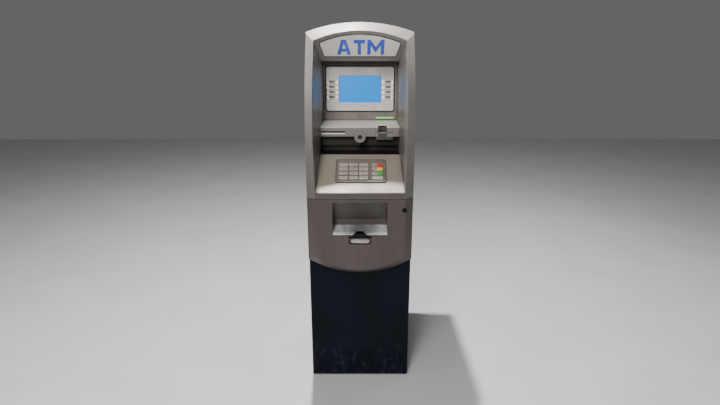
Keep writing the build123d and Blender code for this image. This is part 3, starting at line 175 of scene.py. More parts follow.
WARM, COOL = (1.0, 0.98, 0.95), (0.95, 0.97, 1.0)
lamp("overhead", (-0.23, 0.30, 3.5), (0.0, -0.246, 0.86), 0.08, 185, WARM)
lamp("front_box", (-0.45, -1.75, 2.3), (0.0, -0.15, 1.3), 0.55, 30, WARM)
lamp("eye_box", (-0.35, -2.3, 1.75), (0.0, 0.0, 1.3), 0.5, 26, WARM)
lamp("left_box", (-2.2, -0.9, 1.9), (0.0, 0.0, 0.9), 1.2, 10, COOL)
lamp("right_box", (2.2, 1.4, 1.9), (0.0, 0.0, 0.9), 1.2, 10, WARM)
room = bpy.data.worlds.new("studio")
room.use_nodes = True
room.node_tree.nodes["Background"].inputs["Color"].default_value = linear("c9cacc")
room.node_tree.nodes["Background"].inputs["Strength"].default_value = 0.22
bpy.context.scene.world = room

# %% Floor
sheet = bmesh.new()
bmesh.ops.create_grid(sheet, x_segments=1, y_segments=1, size=6.0)
floor_mesh = bpy.data.meshes.new("floor")
sheet.to_mesh(floor_mesh)
sheet.free()
floor = bpy.data.objects.new("floor", floor_mesh)
bpy.context.collection.objects.link(floor)
vinyl, surface, place = start("floor_vinyl", {"Roughness": 0.6})
shade = add(vinyl, "MapRange", (blotch(vinyl, place, 350), 0.3, 0.7))
shade = add(vinyl, "Mix", {0: shade, 6: linear("c3c3c2"), 7: linear("cbcbca")}, **COLOURS)
link(vinyl, shade, surface.inputs["Base Color"])
floor_mesh.materials.append(vinyl)
print("floor", floor.dimensions[:])

# %% [markdown]
# ## The grey moulded shell
#
# The front is moulded in ABS and sprayed with a satin metallic paint whose flakes lie in faint
# upright streaks. Its corners are darkened, partly by dust and partly as painted shade, and the
# front is painted darker low down, as painted shade where the light falls off. The streaks are
# noise drawn out along Z, and the darkened corners follow the hollows that an ambient occlusion
# node finds. Real flakes are some hundredths of a millimetre across, too fine to show, so streaks
# and specks are drawn a few millimetres wide.

# %% Satin metallic paint
def flake_paint(name, pale, dark, shade_low_down=0.0, dust_and_shade=0.03):
    """Satin metallic paint on ABS: a soft sheen, upright streaks, corners darkened by dust and painted
    shade, painted shade low down.
    """
    paint, surface, place = start(name, {"IOR": 1.46, "Coat Roughness": 0.35, "Coat Weight": 0.15,
                                         "Metallic": 0.15})
    streak = blotch(paint, place, 4.5, (1, 1, 26), 5.0)
    cloud = blotch(paint, place, 110, (1, 1, 2.5), 3.0)
    speck = blotch(paint, place, 1.1, (1, 1, 1), 2.0)
    streaked = add(paint, "MapRange", (streak, 0.3, 0.7, 0.0, 0.6))
    clouded = add(paint, "MapRange", (cloud, 0.35, 0.65, 0.0, 0.4))
    tone = add(paint, "Math", (streaked, clouded), operation="ADD")
    colour = add(paint, "Mix", {0: tone, 6: linear(pale), 7: linear(dark)}, **COLOURS)
    # Corners and hollows are darkened here: partly dust, partly painted shade.
    open_sky = add(paint, "AmbientOcclusion", {"Distance": dust_and_shade}, "AO", samples=6)
    dust_and_shade_mix = add(paint, "MapRange", (open_sky, 0.25, 0.85, 0.55, 0.0))
    colour = add(paint, "Mix", {0: dust_and_shade_mix, 6: colour, 7: linear("3a322c")}, **COLOURS)
    # Painted shade: the paint darkens downwards, from 1.33 m to 0.85 m, where the light falls off.
    painted_shade_low = add(paint, "MapRange", (add(paint, "SeparateXYZ", (place,), "Z"), 0.85, 1.33, shade_low_down, 0.0))
    colour = add(paint, "Mix", {0: painted_shade_low, 6: colour, 7: linear("4b4542")}, **COLOURS)
    link(paint, colour, surface.inputs["Base Color"])
    link(paint, add(paint, "MapRange", (cloud, 0.3, 0.7, 0.36, 0.5)), surface.inputs["Roughness"])
    relief = add(paint, "Math", (speck, streak), operation="ADD")
    relief = add(paint, "Bump", {"Height": relief, "Distance": 0.12 * MM, "Strength": 0.35})
    link(paint, relief, surface.inputs["Normal"])
    return paint


# The front's paint is painted darker low down, as painted shade.
fascia_paint = flake_paint("satin_metallic_paint", "8c8784", "76716f", shade_low_down=0.68)
dress(fascia_paint, "upper_fascia")
# Painted shade: the lower cover takes a darker copy of the front's paint, and its longer occlusion reach
# paints shade deep into the note pocket.
shaded_cover_paint = flake_paint("shaded_satin_metallic_paint_cover", "504848", "403a39", dust_and_shade=0.07)
deck_paint = flake_paint("satin_paint_deck", "8f897f", "7a746a")
# Painted shade: the shelf and the socket take a darker copy of the front's paint.
shaded_shelf_paint = flake_paint("shaded_satin_paint_shelf", "7b7572", "6b6562")
dress(shaded_shelf_paint, "audio_jack")

# %% [markdown]
# ## Blue light on the side walls
#
# The screen throws a soft blue patch on the two walls beside it. A lamp for each patch would light
# the rest of the machine too, so the paint itself gives off a little blue there. The patch is an
# egg shape about the screen's height, and two limits on X keep it to the inner walls.

# %% Blue glow
low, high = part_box("display_surround")
place = add(fascia_paint, "TexCoord", out="Object")
sideways = add(fascia_paint, "SeparateXYZ", (place,), "X")
sideways = add(fascia_paint, "Math", (sideways,), operation="ABSOLUTE")
wall = add(fascia_paint, "MapRange", (sideways, high.x - 2 * MM, high.x + 2 * MM))
skin = add(fascia_paint, "MapRange", (sideways, high.x + 12.5 * MM, high.x + 14.5 * MM, 1.0, 0.0))
middle = (0.0, low.y - 60 * MM, low.z + 0.45 * (high.z - low.z))
reach = add(fascia_paint, "Mapping", {"Vector": place, "Location": middle, "Scale": (0.001, 0.055, 0.1)},
            vector_type="TEXTURE")
away = add(fascia_paint, "VectorMath", (reach,), "Value", operation="LENGTH")
glow = add(fascia_paint, "MapRange", (away, 0.1, 1.3, 0.52, 0.0))
for limit in (wall, skin):
    glow = add(fascia_paint, "Math", (glow, limit), operation="MULTIPLY")
surface = fascia_paint.node_tree.nodes["Principled BSDF"]
surface.inputs["Emission Color"].default_value = linear("0f66ff")
link(fascia_paint, glow, surface.inputs["Emission Strength"])
print("glow round", [round(v, 3) for v in middle])

# %% [markdown]
# ## The steel safe and cabinet
#
# Safe and cabinet are folded and welded steel sheet with a dark blue powder coat. Powder melts
# into a skin with a fine orange peel and gathers scuffs near the floor, and the edges carry a
# painted highlight, paler where they catch the light. The edges come from an occlusion node that
# looks inwards, and the peel from fine noise as relief.

# %% Navy powder coat
coat, surface, place = start("navy_powder_coat", {"IOR": 1.45, "Specular IOR Level": 0.14})
peel = blotch(coat, place, 1.6, (1, 1, 1), 2.0)
cloud = blotch(coat, place, 160, (1, 1, 1.6), 4.0)
tone = add(coat, "MapRange", (cloud, 0.3, 0.7))
colour = add(coat, "Mix", {0: tone, 6: linear("080d1c"), 7: linear("060a14")}, **COLOURS)
# Painted highlight: the edges are painted paler where they catch the light.
edge = add(coat, "AmbientOcclusion", {"Distance": 3 * MM}, "AO", samples=8, inside=True)
edge_highlight = add(coat, "MapRange", (edge, 0.35, 0.75, 0.55, 0.0))
colour = add(coat, "Mix", {0: edge_highlight, 6: colour, 7: linear("38425a")}, **COLOURS)
near_floor = add(coat, "MapRange", (add(coat, "SeparateXYZ", (place,), "Z"), 0.0, 0.22, 0.5, 0.0))
marks = add(coat, "MapRange", (blotch(coat, place, 14, (1, 1, 2.5), 6.0), 0.5, 0.75))
scuffs = add(coat, "Math", (near_floor, marks), operation="MULTIPLY")
colour = add(coat, "Mix", {0: scuffs, 6: colour, 7: linear("3c4049")}, **COLOURS)
link(coat, colour, surface.inputs["Base Color"])
link(coat, add(coat, "MapRange", (cloud, 0.3, 0.7, 0.48, 0.62)), surface.inputs["Roughness"])
link(coat, add(coat, "Bump", {"Height": peel, "Distance": 0.2 * MM, "Strength": 0.4}),
     surface.inputs["Normal"])
dress(coat, "vault_body", "vault_door", "upper_cabinet", "rear_panel")

# %% [markdown]
# ## Moulded plastics
#
# The screen surround, the bezel, the keys and the housings are injection moulded in ABS or
# polycarbonate blends. What tells them apart is their colour, the grain spark-eroded into the
# mould and how much hands have polished it. One function makes them from those three values. The
# real grain is a tenth of a millimetre wide and is drawn coarser, so that it shows.

# %% Moulded ABS
def moulded(name, pale, dark, grain=0.9, rough=0.5, dust_and_shade="4a423a"):
    """Moulded ABS: an even satin skin with a fine grain, slight mottling, and corners darkened by dust
    and painted shade.
    """
    plastic, surface, place = start(name, {"IOR": 1.53})
    tone = add(plastic, "MapRange", (blotch(plastic, place, 50, (1, 1, 2)), 0.32, 0.68))
    colour = add(plastic, "Mix", {0: tone, 6: linear(pale), 7: linear(dark)}, **COLOURS)
    # Corners and hollows are darkened here: partly dust, partly painted shade.
    open_sky = add(plastic, "AmbientOcclusion", {"Distance": 6 * MM}, "AO", samples=6)
    dust_and_shade_mix = add(plastic, "MapRange", (open_sky, 0.2, 0.7, 0.6, 0.0))
    colour = add(plastic, "Mix", {0: dust_and_shade_mix, 6: colour, 7: linear(dust_and_shade)}, **COLOURS)
    link(plastic, colour, surface.inputs["Base Color"])
    sheen = add(plastic, "MapRange", (tone, 0.0, 1.0, rough - 0.06, rough + 0.06))
    link(plastic, sheen, surface.inputs["Roughness"])
    relief = blotch(plastic, place, grain, (1, 1, 1), 2.0)
    relief = add(plastic, "Bump", {"Height": relief, "Distance": grain * MM / 8, "Strength": 0.45})
    link(plastic, relief, surface.inputs["Normal"])
    return plastic


dress(moulded("moulded_taupe_abs", "6c645e", "59514c"), "display_surround")
bezel_abs = moulded("moulded_pale_grey_abs", "c9c6c1", "b5b2ad", rough=0.45)
dress(bezel_abs, "screen_bezel")
dress(moulded("moulded_keypad_housing", "716b61", "5e5850"), "keypad_housing")
black_abs = moulded("moulded_black_abs", "1b1b1c", "121213", dust_and_shade="2b2824")
dress(black_abs, "lcd_module", "speaker")
dress(moulded("mechanism_grey_abs", "55585d", "44474b"), "cash_dispenser", "cash_cassette",
      "control_box", "receipt_printer")
key_abs = moulded("moulded_key_grey_abs", "a8a298", "928c82", grain=0.6, rough=0.4)
dress(key_abs, "key_left", "key_right", "key_blank", *[f"key_{n}" for n in "1234567890"])


# %% [markdown]
# ## Two-colour keys
#
# The command keys are moulded in two shots: a grey body with a coloured right half, so that the
# colour can't wear off. The halves meet at one X, which is all that the mask needs. The screen's
# side keys have white ends as a painted highlight, where their raised pads catch the light.

# %% Two-colour finishes
def two_colour(base, name, colour, inside):
    """A copy of a finish, with a second colour where inside(material, x, y, z) is 1."""
    finish_two = base.copy()
    finish_two.name = name
    surface = finish_two.node_tree.nodes["Principled BSDF"]
    first = surface.inputs["Base Color"].links[0].from_socket
    place = add(finish_two, "TexCoord", out="Object")
    x, y, z = [add(finish_two, "SeparateXYZ", (place,), axis) for axis in "XYZ"]
    both = {0: inside(finish_two, x, y, z), 6: first, 7: linear(colour)}
    link(finish_two, add(finish_two, "Mix", both, **COLOURS), surface.inputs["Base Color"])
    return finish_two


def right_half(plastic, x, y, z):
    """The coloured half of a command key."""
    middle = (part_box("key_cancel")[0].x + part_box("key_cancel")[1].x) / 2
    return add(plastic, "MapRange", (x, middle, middle + 0.5 * MM))


def far_from_middle(plastic, x, y, z):
    """Both ends of a screen key, on either side of the screen, painted white as a painted highlight."""
    low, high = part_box("function_key_right_1")
    half = (high.x - low.x) / 2
    off = add(plastic, "Math", (x,), operation="ABSOLUTE")
    off = add(plastic, "Math", (off, (low.x + high.x) / 2), operation="SUBTRACT")
    off = add(plastic, "Math", (off,), operation="ABSOLUTE")
    return add(plastic, "MapRange", (off, 0.52 * half, 0.62 * half))


for key, colour in (("key_cancel", "c4392b"), ("key_clear", "e0b75a"), ("key_enter", "3fa244")):
    dress(two_colour(key_abs, "two_shot_" + key, colour, right_half), key)
side_keys = [f"function_key_{side}_{row}" for side in ("left", "right") for row in (1, 2, 3, 4)]
# Painted highlight: the ends of each screen key are painted white.
dress(two_colour(bezel_abs, "painted_highlight_side_key", "ffffff", far_from_middle), *side_keys)

# %% [markdown]
# ## Masked paint
#
# Some mouldings are sprayed twice through a mask. The shelf's top is painted paler than its front
# as painted light, the card reader's face matches the shelf's front and its painted shade, the
# hollow under the shelf is painted near black as painted shadow, the strip under the deck takes
# the cover's darker tone as painted shade, and the finger notch is painted black as painted
# shadow. Each mask is one or more limits on X, Y or Z, read from the part's own box, and where
# there are more they multiply.

# %% Shelf and card reader
SHELF_SHOULDER = 37 * MM  # above the shelf's underside, where its top begins
shelf_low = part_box("reader_shelf")[0]
throat_x, throat_half = 90 * MM, 17.6 * MM


def lit_shelf_top(paint, x, y, z):
    """The shelf's top, painted paler than its front as painted light."""
    shoulder = shelf_low.z + SHELF_SHOULDER
    return add(paint, "MapRange", (z, shoulder - 0.2 * MM, shoulder + 0.4 * MM))


def reader_face(paint, x, y, z):
    """The reader's face beside its throat, painted like the shelf's front, with its painted shade."""
    off = add(paint, "Math", (x, throat_x), operation="SUBTRACT")
    off = add(paint, "Math", (off,), operation="ABSOLUTE")
    mask = add(paint, "MapRange", (off, throat_half - 0.2 * MM, throat_half + 0.2 * MM))
    ahead = add(paint, "MapRange", (y, shelf_low.y - 0.6 * MM, shelf_low.y - 0.4 * MM, 1.0, 0.0))
    above = add(paint, "MapRange", (z, shelf_low.z + 1.0 * MM, shelf_low.z + 1.5 * MM))
    for limit in (ahead, above):
        mask = add(paint, "Math", (mask, limit), operation="MULTIPLY")
    return mask


# Painted light: the shelf's top is painted paler than its front.
dress(two_colour(shaded_shelf_paint, "lit_top_shelf_paint", "f7f1e3", lit_shelf_top), "reader_shelf")
charcoal_abs = moulded("moulded_charcoal_abs", "3d3a38", "2e2c2a")
# The reader's face takes the shelf front's darker tone, which is painted shade.
dress(two_colour(charcoal_abs, "painted_reader_abs", "6f6966", reader_face), "card_reader")

# %% Deck
SHELF_OVERHANG, STRIP_TALL = 26 * MM, 21 * MM


def painted_shadow_behind_deck(paint, x, y, z):
    """The hollow under the shelf, painted near black as painted shadow."""
    rear = shelf_low.y - SHELF_OVERHANG
    return add(paint, "MapRange", (y, rear + 0.5 * MM, rear + 1.5 * MM))


def shaded_front_strip(paint, x, y, z):
    """The upright strip under the deck, painted in the cover's darker tone as painted shade."""
    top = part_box("keypad_deck")[0].z + STRIP_TALL
    return add(paint, "MapRange", (z, top - 0.5 * MM, top + 0.5 * MM, 1.0, 0.0))


# Painted shadow: the hollow under the shelf is painted near black.
deck_with_painted_shadow = two_colour(deck_paint, "painted_shadow_deck_paint", "191613", painted_shadow_behind_deck)
# Painted shade: the strip under the deck takes the cover's darker tone.
dress(two_colour(deck_with_painted_shadow, "masked_deck_paint", "4f4846", shaded_front_strip), "keypad_deck")

# %% Cover
SLOT_HALF = 45.75 * MM
cover_low, tray_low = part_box("lower_fascia")[0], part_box("cash_tray")[0]


def painted_shadow_in_slot(paint, x, y, z):
    """The finger notch and slot, painted black as painted shadow behind the painted front."""
    mask = add(paint, "MapRange", (y, cover_low.y + 1.0 * MM, cover_low.y + 1.5 * MM))
    under = add(paint, "MapRange", (z, tray_low.z + 3.0 * MM, tray_low.z + 3.5 * MM, 1.0, 0.0))
    over = add(paint, "MapRange", (z, tray_low.z - 14.0 * MM, tray_low.z - 13.5 * MM))
    sideways = add(paint, "Math", (x,), operation="ABSOLUTE")
    within = add(paint, "MapRange", (sideways, SLOT_HALF - 0.25 * MM, SLOT_HALF + 0.25 * MM, 1.0, 0.0))
    for limit in (under, over, within):
        mask = add(paint, "Math", (mask, limit), operation="MULTIPLY")
    return mask


# Painted shadow: the notch and slot are painted black.
dress(two_colour(shaded_cover_paint, "masked_cover_paint", "0c0b0b", painted_shadow_in_slot), "lower_fascia")

# %% [markdown]
# ## The sign, its letters and the green light
#
# The sign is an opal acrylic panel with a lamp behind it, and its letters are cut from blue vinyl.
# Opal acrylic scatters light, so it is a smooth plastic with a faint even glow. The vinyl is
# printed unevenly, which shows as a slow change from a lighter to a deeper blue. The lamp's cover
# and the light over the card slot are cast plastics that glow as well, so one function makes all
# four from two close colours, the size of their clouding and a fine ripple on the skin.

# %% Cast and printed plastics that glow
def glowing(name, glow, power, pale, dark, cloud, ripple, strength, shader, spread=0.2):
    """A smooth plastic that gives off a little light, clouded from pale to dark."""
    plastic, surface, place = start(name, {**shader, "Emission Color": linear(glow),
                                           "Emission Strength": power})
    tone = add(plastic, "MapRange", (blotch(plastic, place, cloud), 0.5 - spread, 0.5 + spread))
    tone = add(plastic, "Mix", {0: tone, 6: linear(pale), 7: linear(dark)}, **COLOURS)
    link(plastic, tone, surface.inputs["Base Color"])
    relief = {"Height": blotch(plastic, place, ripple), "Distance": 0.1 * MM, "Strength": strength}
    link(plastic, add(plastic, "Bump", relief), surface.inputs["Normal"])
    return plastic


opal = glowing("opal_acrylic", "e9e6e2", 0.17, "cbc7c4", "bdb9b6", 45, 1.5, 0.3,
               {"IOR": 1.49, "Roughness": 0.3}, spread=0.15)
dress(opal, "sign_panel")
dress(glowing("frosted_diffuser", "fff6e6", 1.2, "efece6", "dedad2", 30, 1.0, 0.4,
              {"IOR": 1.49, "Roughness": 0.5}), "sign_lamp")
dress(glowing("blue_vinyl", "3c58c8", 0.12, "4763c8", "344cb2", 30, 2.0, 0.25,
              {"IOR": 1.5, "Roughness": 0.32}), "sign_letters")
dress(glowing("green_light_lens", "8fe07a", 0.85, "6fb860", "4f9a48", 10, 1.5, 0.3,
              {"IOR": 1.49, "Roughness": 0.25}), "card_light")

# %% [markdown]
# ## The lit screen
#
# The screen is a liquid crystal panel behind flat glass, showing one plain blue. Seen close it is
# made of fine upright columns, and it is a little deeper at its edges, where the backlight ends.
# Its light comes from the shader's emission. The real columns are 0.3 mm wide and are drawn about
# 5 mm wide, so that they show.

# %% Lit display glass
low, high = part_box("screen_glass")
glass, surface, place = start("lit_display_glass", {"IOR": 1.52, "Roughness": 0.3,
                              "Base Color": linear("001020"), "Specular IOR Level": 0.1,
                              "Emission Strength": 1.05})
sides = add(glass, "Math", (add(glass, "SeparateXYZ", (place,), "X"),), operation="ABSOLUTE")
ends = add(glass, "Math", (add(glass, "SeparateXYZ", (place,), "Z"), (low.z + high.z) / 2),
           operation="SUBTRACT")
ends = add(glass, "Math", (ends,), operation="ABSOLUTE")
half_x, half_z = (high.x - low.x) / 2, (high.z - low.z) / 2
side_rim = add(glass, "MapRange", (sides, half_x - 8 * MM, half_x - 2 * MM))
end_rim = add(glass, "MapRange", (ends, half_z - 8 * MM, half_z - 2 * MM))
rim = add(glass, "Math", (side_rim, end_rim), operation="MAXIMUM")
columns = add(glass, "TexWave", {"Vector": place, "Scale": 60.0, "Distortion": 0.4}, "Fac",
              bands_direction="X")
columns = add(glass, "MapRange", (columns, 0.0, 1.0, 0.0, 0.3))
blue = add(glass, "Mix", {0: columns, 6: linear("009cff"), 7: linear("00a6ff")}, **COLOURS)
blue = add(glass, "Mix", {0: rim, 6: blue, 7: linear("0478e0")}, **COLOURS)
link(glass, blue, surface.inputs["Emission Color"])
relief = {"Height": blotch(glass, place, 1.2), "Distance": 0.02 * MM, "Strength": 0.2}
link(glass, add(glass, "Bump", relief), surface.inputs["Normal"])
dress(glass, "screen_glass")


# %% [markdown]
# ## Metals
#
# The note tray is stainless sheet brushed from side to side, so its scratches run along X and
# stretch the lamp's reflection across them. The lock and the bolt work's handles are blackened
# steel, and pins, bolts and screws are zinc plated, which is duller and slightly mottled. Brush
# marks and zinc crystals are finer than a millimetre and are drawn one to four millimetres wide.

# %% Metal
def metal(name, pale, dark, size, rough, relief, stretch=(1, 1, 1), whole=1.0, lean=0.0):
    """A metal whose colour, roughness and relief follow one pattern of marks."""
    steel, surface, place = start(name, {"Metallic": whole, "Anisotropic": lean})
    marks = blotch(steel, place, size, stretch, 5.0)
    cloud = blotch(steel, place, 22, (1, 4, 4), 3.0)
    tone = add(steel, "Math", (add(steel, "MapRange", (marks, 0.3, 0.7, 0.0, 0.5)),
               add(steel, "MapRange", (cloud, 0.3, 0.7, 0.0, 0.5))), operation="ADD")
    colour = add(steel, "Mix", {0: tone, 6: linear(pale), 7: linear(dark)}, **COLOURS)
    link(steel, colour, surface.inputs["Base Color"])
    sheen = add(steel, "MapRange", (tone, 0.0, 1.0, rough - 0.07, rough + 0.07))
    link(steel, sheen, surface.inputs["Roughness"])
    relief = add(steel, "Bump", {"Height": marks, "Distance": relief * MM, "Strength": 0.5})
    link(steel, relief, surface.inputs["Normal"])
    return steel


def dark_reflection_middle(steel, x, y, z):
    """The middle of the tray, painted darker as a painted dark reflection."""
    sideways = add(steel, "Math", (x,), operation="ABSOLUTE")
    return add(steel, "MapRange", (sideways, 20 * MM, 74 * MM, 0.72, 0.0))


# %% Steel parts
brushed = metal("brushed_stainless_sheet", "f6f8f8", "8f9595", 1.2, 0.4, 0.08, (1, 14, 14), 0.5, 0.3)
# Painted reflection: the tray's middle is painted darker.
dress(two_colour(brushed, "dark_reflection_stainless_sheet", "35383a", dark_reflection_middle), "cash_tray")
black_steel = metal("blackened_steel", "232222", "121212", 2, 0.4, 0.06, whole=0.6)
dress(black_steel, "key_lock", "lock_cam", "combination_dial", "bolt_handle")
dress(metal("zinc_plated_steel", "c4c8cb", "9aa0a6", 4, 0.34, 0.05),
      "hinge_pins", "cover_hinge_pins", "lock_bolts", "rear_panel_screws")

# %% [markdown]
# ## Rubber and paper
#
# Rollers are ground nitrile rubber, which is dull, with grinding marks round it. The roll of
# thermal paper is chalky white, and its wound edges show as fine noise.

# %% Rubber and paper
rubber, surface, place = start("ground_nitrile_rubber", {"IOR": 1.52, "Roughness": 0.8})
ground = blotch(rubber, place, 0.9, (12, 1, 1), 3.0)
colour = add(rubber, "Mix", {0: ground, 6: linear("1a1a1a"), 7: linear("2c2b2a")}, **COLOURS)
link(rubber, colour, surface.inputs["Base Color"])
link(rubber, add(rubber, "Bump", {"Height": ground, "Distance": 0.2 * MM, "Strength": 0.5}),
     surface.inputs["Normal"])
dress(rubber, "feed_rollers", "platen_roller")
paper, surface, place = start("thermal_paper", {"IOR": 1.45, "Roughness": 0.65})
turns = blotch(paper, place, 1.1, (1, 1, 1), 2.0)
colour = add(paper, "Mix", {0: turns, 6: linear("f0eee8"), 7: linear("dcdad3")}, **COLOURS)
link(paper, colour, surface.inputs["Base Color"])
link(paper, add(paper, "Bump", {"Height": turns, "Distance": 0.1 * MM, "Strength": 0.5}),
     surface.inputs["Normal"])
dress(paper, "paper_roll")

# %% [markdown]
# ## Small pieces: how they are made
#
# A maker adds trim last: gaskets and printed legends. The pale lips under the slots are painted
# highlights. Flat trim starts as one square face whose corners are bevelled round, and is then inset
# or extruded. Each piece is drawn on its panel's own plane and moved there in its mesh, so that its
# object stays at the origin.

# %% Piece helpers
def finish(name, shape, place, body, material):
    """Turns a bmesh into a piece in its place, with its finish, that moves with a body."""
    bmesh.ops.transform(shape, matrix=place, verts=shape.verts)
    bmesh.ops.recalc_face_normals(shape, faces=shape.faces)
    open_edges = sum(not edge.is_manifold for edge in shape.edges)
    mesh = bpy.data.meshes.new(name)
    shape.to_mesh(mesh)
    shape.free()
    mesh.materials.append(material)
    made = bpy.data.objects.new(name, mesh)
    bpy.context.collection.objects.link(made)
    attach(made, body)
    print(name, "faces", len(mesh.polygons), "open edges", open_edges)


def rounded_face(half_x, half_y, corner):
    """One flat face with rounded corners, in a new bmesh."""
    shape = bmesh.new()
    bmesh.ops.create_grid(shape, x_segments=1, y_segments=1, size=1.0)
    bmesh.ops.scale(shape, vec=(half_x, half_y, 1), verts=shape.verts)
    bmesh.ops.bevel(shape, geom=list(shape.verts), offset=corner, affect="VERTICES", segments=8,
                    profile=0.5, material=-1)
    return shape


def thicken(shape, rise):
    """Makes a flat bmesh a closed body, by raising a copy of it. Rise is a vector in metres."""
    raised = bmesh.ops.extrude_face_region(shape, geom=list(shape.faces), use_keep_orig=True)
    tops = [v for v in raised["geom"] if isinstance(v, bmesh.types.BMVert)]
    bmesh.ops.translate(shape, verts=tops, vec=rise)
    return shape


def hollow_out(shape, width):
    """Leaves only a border of that width on a flat bmesh."""
    middle = list(shape.faces)
    bmesh.ops.inset_region(shape, faces=middle, thickness=width, use_even_offset=True,
                           use_boundary=True)
    bmesh.ops.delete(shape, geom=middle, context="FACES")
    return shape


def moved(place, right=0.0, up=0.0, out=0.0):
    """A place shifted along its own axes."""
    return place @ Matrix.Translation((right, up, out))


# %% [markdown]
# ## Gaskets
#
# A black rubber gasket seals the gap round the bezel, the keypad and the sign. It shows as a thin
# dark outline. The bezel's and the keypad's are rounded rings a little larger than their part,
# made as a face that is inset and loses its middle. The sign's follows its arched edge, so it is
# drawn from a copy of the sign's own front face.

# %% Bezel and keypad gaskets
panel = seat("display_surround", SCREEN_NORMAL)[0].translation.dot(SCREEN_NORMAL)
place, half_x, half_y = seat("screen_bezel", SCREEN_NORMAL)
sunk = panel - place.translation.dot(SCREEN_NORMAL)  # from the bezel's face back to the surround's
ring = hollow_out(rounded_face(half_x + 5.1 * MM, half_y + 5.1 * MM, 14 * MM), 5 * MM)
finish("bezel_gasket", thicken(ring, (0, 0, 2 * MM)), moved(place, out=sunk - 0.5 * MM), "upper_front",
       rubber)
PAD_PROUD = 2.5 * MM  # the keypad housing's face above the deck
place, half_x, half_y = seat("keypad_housing", DECK_NORMAL)
ring = hollow_out(rounded_face(half_x + 2.1 * MM, half_y + 2.1 * MM, 9.5 * MM), 2 * MM)
finish("keypad_gasket", thicken(ring, (0, 0, 1.3 * MM)), moved(place, out=-PAD_PROUD - 0.4 * MM),
       "upper_front", rubber)

# %% Sign gasket
face = bmesh.new()
face.from_mesh(frame["nodes"]["sign_panel"].data)
bmesh.ops.remove_doubles(face, verts=face.verts, dist=1e-6)
face.normal_update()
bmesh.ops.delete(face, geom=[f for f in face.faces if f.normal.y >= -0.5], context="FACES")
bmesh.ops.dissolve_limit(face, angle_limit=0.02, verts=face.verts, edges=face.edges)
sign_normal = max(face.faces, key=lambda f: f.calc_area()).normal.copy()
hollow_out(face, 2.2 * MM)
thicken(face, sign_normal * 1.2 * MM)
finish("sign_gasket", face, Matrix.Identity(4), "upper_front", rubber)


# %% [markdown]
# ## Printed and raised marks
#
# Key legends are pad printed in black ink. Text starts as a curve with a hair of thickness, is
# turned into a mesh and only then moved onto its key, so the ink stands just proud of the cap and
# travels with it. Digits, arrows and plain words are all that a keypad of this kind needs.

# %% Lettering
ink, surface, place = start("pad_printed_ink", {"IOR": 1.5, "Roughness": 0.5})
worn = add(ink, "MapRange", (blotch(ink, place, 0.8), 0.3, 0.7))
colour = add(ink, "Mix", {0: worn, 6: linear("161616"), 7: linear("262524")}, **COLOURS)
link(ink, colour, surface.inputs["Base Color"])


CAPITAL = 0.69  # of a letter's nominal size that its capitals take up


def lettering(name, words, tall, place, body, material, proud=0.12 * MM):
    """Text of a given capital height, centred on a place and standing proud of it."""
    curve = bpy.data.curves.new(name, "FONT")
    curve.body, curve.size = words, tall / CAPITAL
    curve.align_x, curve.align_y = "CENTER", "CENTER"
    curve.extrude, curve.resolution_u = proud, 3
    draft = bpy.data.objects.new(name + "_draft", curve)
    shape = bmesh.new()
    shape.from_mesh(bpy.data.meshes.new_from_object(draft))
    bpy.data.objects.remove(draft)
    bmesh.ops.remove_doubles(shape, verts=shape.verts, dist=1e-7)
    finish(name, shape, place, body, material)


legends = {**{f"key_{n}": n for n in "1234567890"}, "key_left": "<", "key_right": ">"}
for key, words in legends.items():
    lettering("legend_" + key, words, 7 * MM, seat(key, DECK_NORMAL)[0], key, ink)
for key, words in {"key_cancel": "CANCEL", "key_clear": "CLEAR", "key_enter": "ENTER"}.items():
    place, half_x, _ = seat(key, DECK_NORMAL)
    lettering("legend_" + key, words, 3.2 * MM, moved(place, right=-half_x / 2), key, ink)

# %% Dial numbers
place, half_x, _ = seat("combination_dial", FRONT_NORMAL)
# The numbers take the sign's opal finish, so they give off a faint painted glow though no lamp is behind
# them.
for number in range(10):
    turn = Matrix.Rotation(math.radians(-36 * number), 4, "Z")
    lettering(f"dial_number_{number}", str(number * 10), 4 * MM,
              moved(place @ turn, up=half_x * 0.74), "combination_dial", opal)

# %% [markdown]
# ## Trim on the screen keys, the shelf and the cover
#
# Each screen key has a black crescent in its dished middle, a painted shadow of the dish. The
# receipt slot and the card throat have pale lips under them, painted highlights for their lit
# lower edges, the socket has a turned black ring, and a paler plate lines the recess that a thumb
# pulls the cover by, painted light for the recess's lit lower face. The crescents are strips whose
# points are lifted towards the ends, the lips are cubes with bevelled edges, and the ring is a
# small circle spun round the socket's middle.

# %% Crescents
CRESCENT_HALF, CRESCENT_LIFT = 11 * MM, 1.4 * MM
DISH_SIDEWAYS, DISH_DEEP = 3.5 * MM, 3.9 * MM  # the dish's middle, from the key's
for key in side_keys:
    place = seat(key, SCREEN_NORMAL)[0]
    side = 1 if place.translation.x > 0 else -1
    arc = bmesh.new()
    bmesh.ops.create_grid(arc, x_segments=12, y_segments=1, size=1.0)
    bmesh.ops.scale(arc, vec=(CRESCENT_HALF, 3 * MM, 1), verts=arc.verts)
    for vert in arc.verts:
        vert.co.y += CRESCENT_LIFT * (vert.co.x / CRESCENT_HALF) ** 2
    place = moved(place, right=side * DISH_SIDEWAYS, up=1.2 * MM, out=-DISH_DEEP)
    # Painted shadow: a black crescent in each key's dished middle.
    finish("crescent_" + key, thicken(arc, (0, 0, 0.8 * MM)), place, key, black_abs)


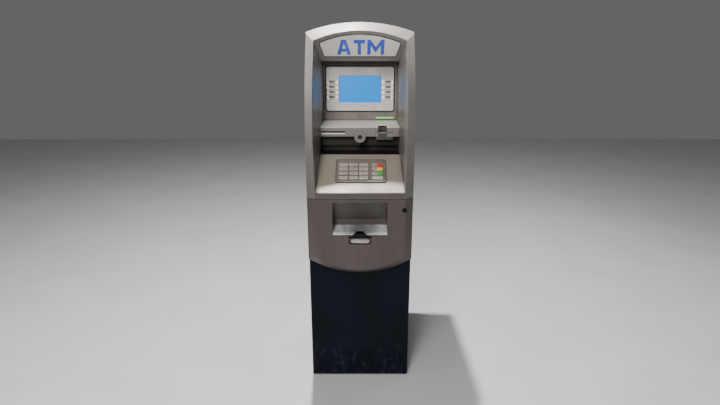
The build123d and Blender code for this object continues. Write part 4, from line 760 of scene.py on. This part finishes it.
# %% Lips
def bar(half_x, half_y, half_z, edge):
    """A bar with small rounded edges."""
    shape = bmesh.new()
    bmesh.ops.create_cube(shape, size=2.0)
    bmesh.ops.scale(shape, vec=(half_x, half_y, half_z), verts=shape.verts)
    bmesh.ops.bevel(shape, geom=list(shape.edges), offset=edge, affect="EDGES", segments=3,
                    profile=0.5, material=-1)
    return shape


# Painted highlights: pale lips under the receipt slot and the card throat stand for their lit lower
# edges.
receipt_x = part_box("paper_roll")[0].x / 2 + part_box("paper_roll")[1].x / 2
finish("receipt_lip", bar(46 * MM, 1.8 * MM, 2.1 * MM, 0.8 * MM),
       Matrix.Translation((receipt_x, shelf_low.y - 0.9 * MM, shelf_low.z + 13.7 * MM)),
       "upper_front", moulded("painted_highlight_white_abs", "f1efea", "e2dfd9"))
finish("throat_lip", bar(16 * MM, 1.0 * MM, 0.8 * MM, 0.4 * MM),
       Matrix.Translation((throat_x, shelf_low.y - 0.6 * MM, shelf_low.z + 16.6 * MM)),
       "upper_front", bezel_abs)

# %% Socket ring
RING_RADIUS, RING_WIRE = 7.6 * MM, 1.0 * MM
place = seat("audio_jack", FRONT_NORMAL)[0]
section = bmesh.new()
bmesh.ops.create_circle(section, segments=12, radius=RING_WIRE, cap_ends=False)
bmesh.ops.transform(section, matrix=Matrix.Rotation(math.radians(90), 4, "X"), verts=section.verts)
bmesh.ops.translate(section, verts=section.verts, vec=(RING_RADIUS, 0, 0))
bmesh.ops.spin(section, geom=list(section.edges), cent=(0, 0, 0), axis=(0, 0, 1),
               angle=math.radians(360), steps=48, use_merge=True)
finish("socket_ring", section, place, "upper_front", black_steel)

# %% Thumb plate
PLATE_LEAN = math.radians(20)  # back at its head, so that it faces a little upwards
plate = thicken(rounded_face(36 * MM, 8.2 * MM, 8.1 * MM), (0, 0, 1.5 * MM))
tilt = Matrix.Translation((0, cover_low.y + 9.5 * MM, tray_low.z - 26.5 * MM))
tilt = tilt @ Matrix.Rotation(math.radians(90) - PLATE_LEAN, 4, "X")
# Painted light: the plate is paler than the cover, for the thumb dish's lower face lit from above.
finish("thumb_plate", plate, tilt, "lower_cover",
       moulded("lit_pull_grey_abs", "a39b94", "8d867f"))
